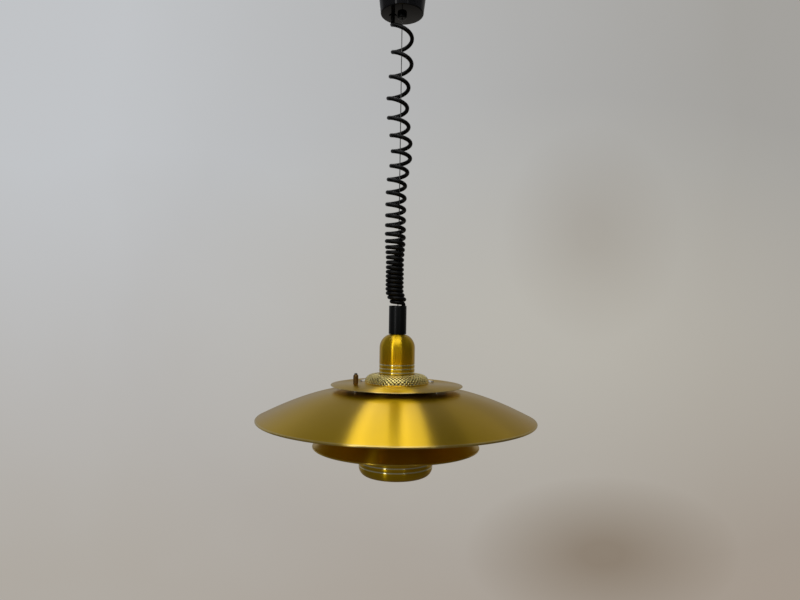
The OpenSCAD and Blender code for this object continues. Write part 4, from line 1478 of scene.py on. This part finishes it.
@dataclass
class Shade:
    """Sizes of a spun shade with a rolled rim.

    Its edge is paler over the last worn_glint_beads times the bead's radius, partly from wear and partly as
    a painted highlight of the rim's glint.
    """

    name: str
    rim_r: float
    flat_r: float
    hole_r: float
    height: float
    worn_glint: float
    bead_r: float = 1.4 * MM
    worn_glint_beads: float = 1.6
    sheet: float = 1.0 * MM
    power: float = 1.54

    def outline(self) -> Array:
        """The section, walked from the middle out over the top and back underneath.

        The top falls by height times the share of the way from flat_r to the rim, to the
        given power. The rim is a bead of bead_r.

        Returns:
            Points of radius and level.
        """
        top, end = level(f"{self.name}_crown", True), self.rim_r - self.bead_r
        over = np.linspace(self.flat_r, end, 60)
        under = np.linspace(self.flat_r, end - self.bead_r, 60)[::-1]
        over_z, under_z = (
            top - self.height * ((r - self.flat_r) / (end - self.flat_r)) ** self.power
            for r in (over, under)
        )
        bead = arc((end, top - self.height - self.bead_r), self.bead_r, (62, -185), 20)
        return np.vstack([
            [[self.hole_r, top]],
            np.column_stack([over, over_z]),
            bead,
            np.column_stack([under, under_z - self.sheet]),
            [[self.hole_r, top - self.sheet]],
        ])

    def finish(self) -> Finish:
        """The gold finish, with wear and a painted highlight on this shade's rim."""
        rim = self.rim_r - self.worn_glint_beads * self.bead_r
        return replace(GOLD, name=f"spun_gold_{self.name}", worn_glint=self.worn_glint, worn_glint_from=rim)


@dataclass
class Shades(SubAssembly):
    """The two shades, the cup, and what holds them together."""

    # Each shade's last value is the share of paler rim: partly wear, partly a painted highlight of the rim's
    # glint
    large: Shade = field(default_factory=lambda: Shade(
        "large", 200 * MM, 80 * MM, 58 * MM, 39.2 * MM, 0.42))
    second: Shade = field(default_factory=lambda: Shade(
        "second", 120 * MM, 74 * MM, 51.3 * MM, 24.4 * MM, 0.15))
    cup_r: float = 53.3 * MM
    mouth_r: float = 42.6 * MM
    curve_h: float = 13.0 * MM
    sheet: float = 1.0 * MM
    grooves: Grooves = field(default_factory=lambda: Grooves(1.0 * MM, 6.0 * MM, 2))

    def cup(self) -> None:
        """Makes the cup: an upright grooved wall that draws in to a round-edged mouth."""
        low, high = levels("bottom_cup")
        foot, draw, half = low + self.curve_h, self.cup_r - self.mouth_r, self.sheet / 2
        centre = (self.mouth_r, foot)
        inside = (draw - self.sheet, self.curve_h - self.sheet)
        outline = np.vstack([
            [[self.cup_r - self.sheet, high], [self.cup_r, high]],
            *self.grooves.outlines(self.cup_r, foot),
            arc(centre, (draw, self.curve_h), (0, -90), 24),
            arc((self.mouth_r, low + half), half, (-90, -270), 8)[1:-1],
            arc(centre, inside, (-90, 0), 16),
        ])
        finish = self.grooves.finish("spun_gold_cup", foot)
        self.piece("cup", turned(outline), finish, "gold_aluminium", ["bottom_cup"])

    def build(self) -> None:
        """Makes both shades and the cup, and dresses the rods and spacers."""
        for shade in (self.large, self.second):
            name = shade.name
            self.piece(
                name, turned(shade.outline(), 384), shade.finish(), "gold_aluminium",
                [f"{name}_shade", f"{name}_crown"], sharp=60,
            )
        self.cup()
        dress(GOLD, "cup_flange")
        dress(WIRE_STEEL, "support_rods")
        dress(STEEL, "rod_nuts")
        dress(POLISHED_BRASS, "long_spacers")


@dataclass
class Bulb(SubAssembly):
    """The opal bulb and its screw cap."""

    ball_r: float = 30.0 * MM
    cap_r: float = 13.2 * MM
    length: float = 82.0 * MM
    taper: float = 0.25

    def build(self) -> None:
        """Makes the glass: a neck that swells smoothly into a ball."""
        top = level("bulb_glass", True)
        ball = self.length - self.ball_r
        d = np.linspace(0, ball, 32)
        swell = self.taper * d / ball + (1 - self.taper) * smooth(d / ball)
        neck = np.column_stack([self.cap_r + (self.ball_r - self.cap_r) * swell, top - d])
        round_end = arc((0, top - ball), self.ball_r, (0, -90), 32)
        outline = np.vstack([[[0, top]], neck, round_end[1:]])
        self.piece(
            "bulb", turned(outline, 128), OPAL, "opal_glass", ["bulb_glass"], sharp=50
        )
        dress(STEEL, "bulb_cap")


def main() -> None:
    """Builds the scene: camera and cords first, then each group of pieces."""
    logging.basicConfig(level=logging.INFO, format="%(message)s")
    studio = Studio()
    studio.camera()
    groups: list[SubAssembly] = [
        CurlyCord(), LiftWire(), ReelHousing(), BellGroup(), VentDome(), DiscGroup(),
        Shades(), Bulb(),
    ]
    for group in groups:
        LOG.info("making %s", type(group).__name__)
        group.build()
    studio.backdrop()
    studio.light()


if __name__ == "__main__":
    main()
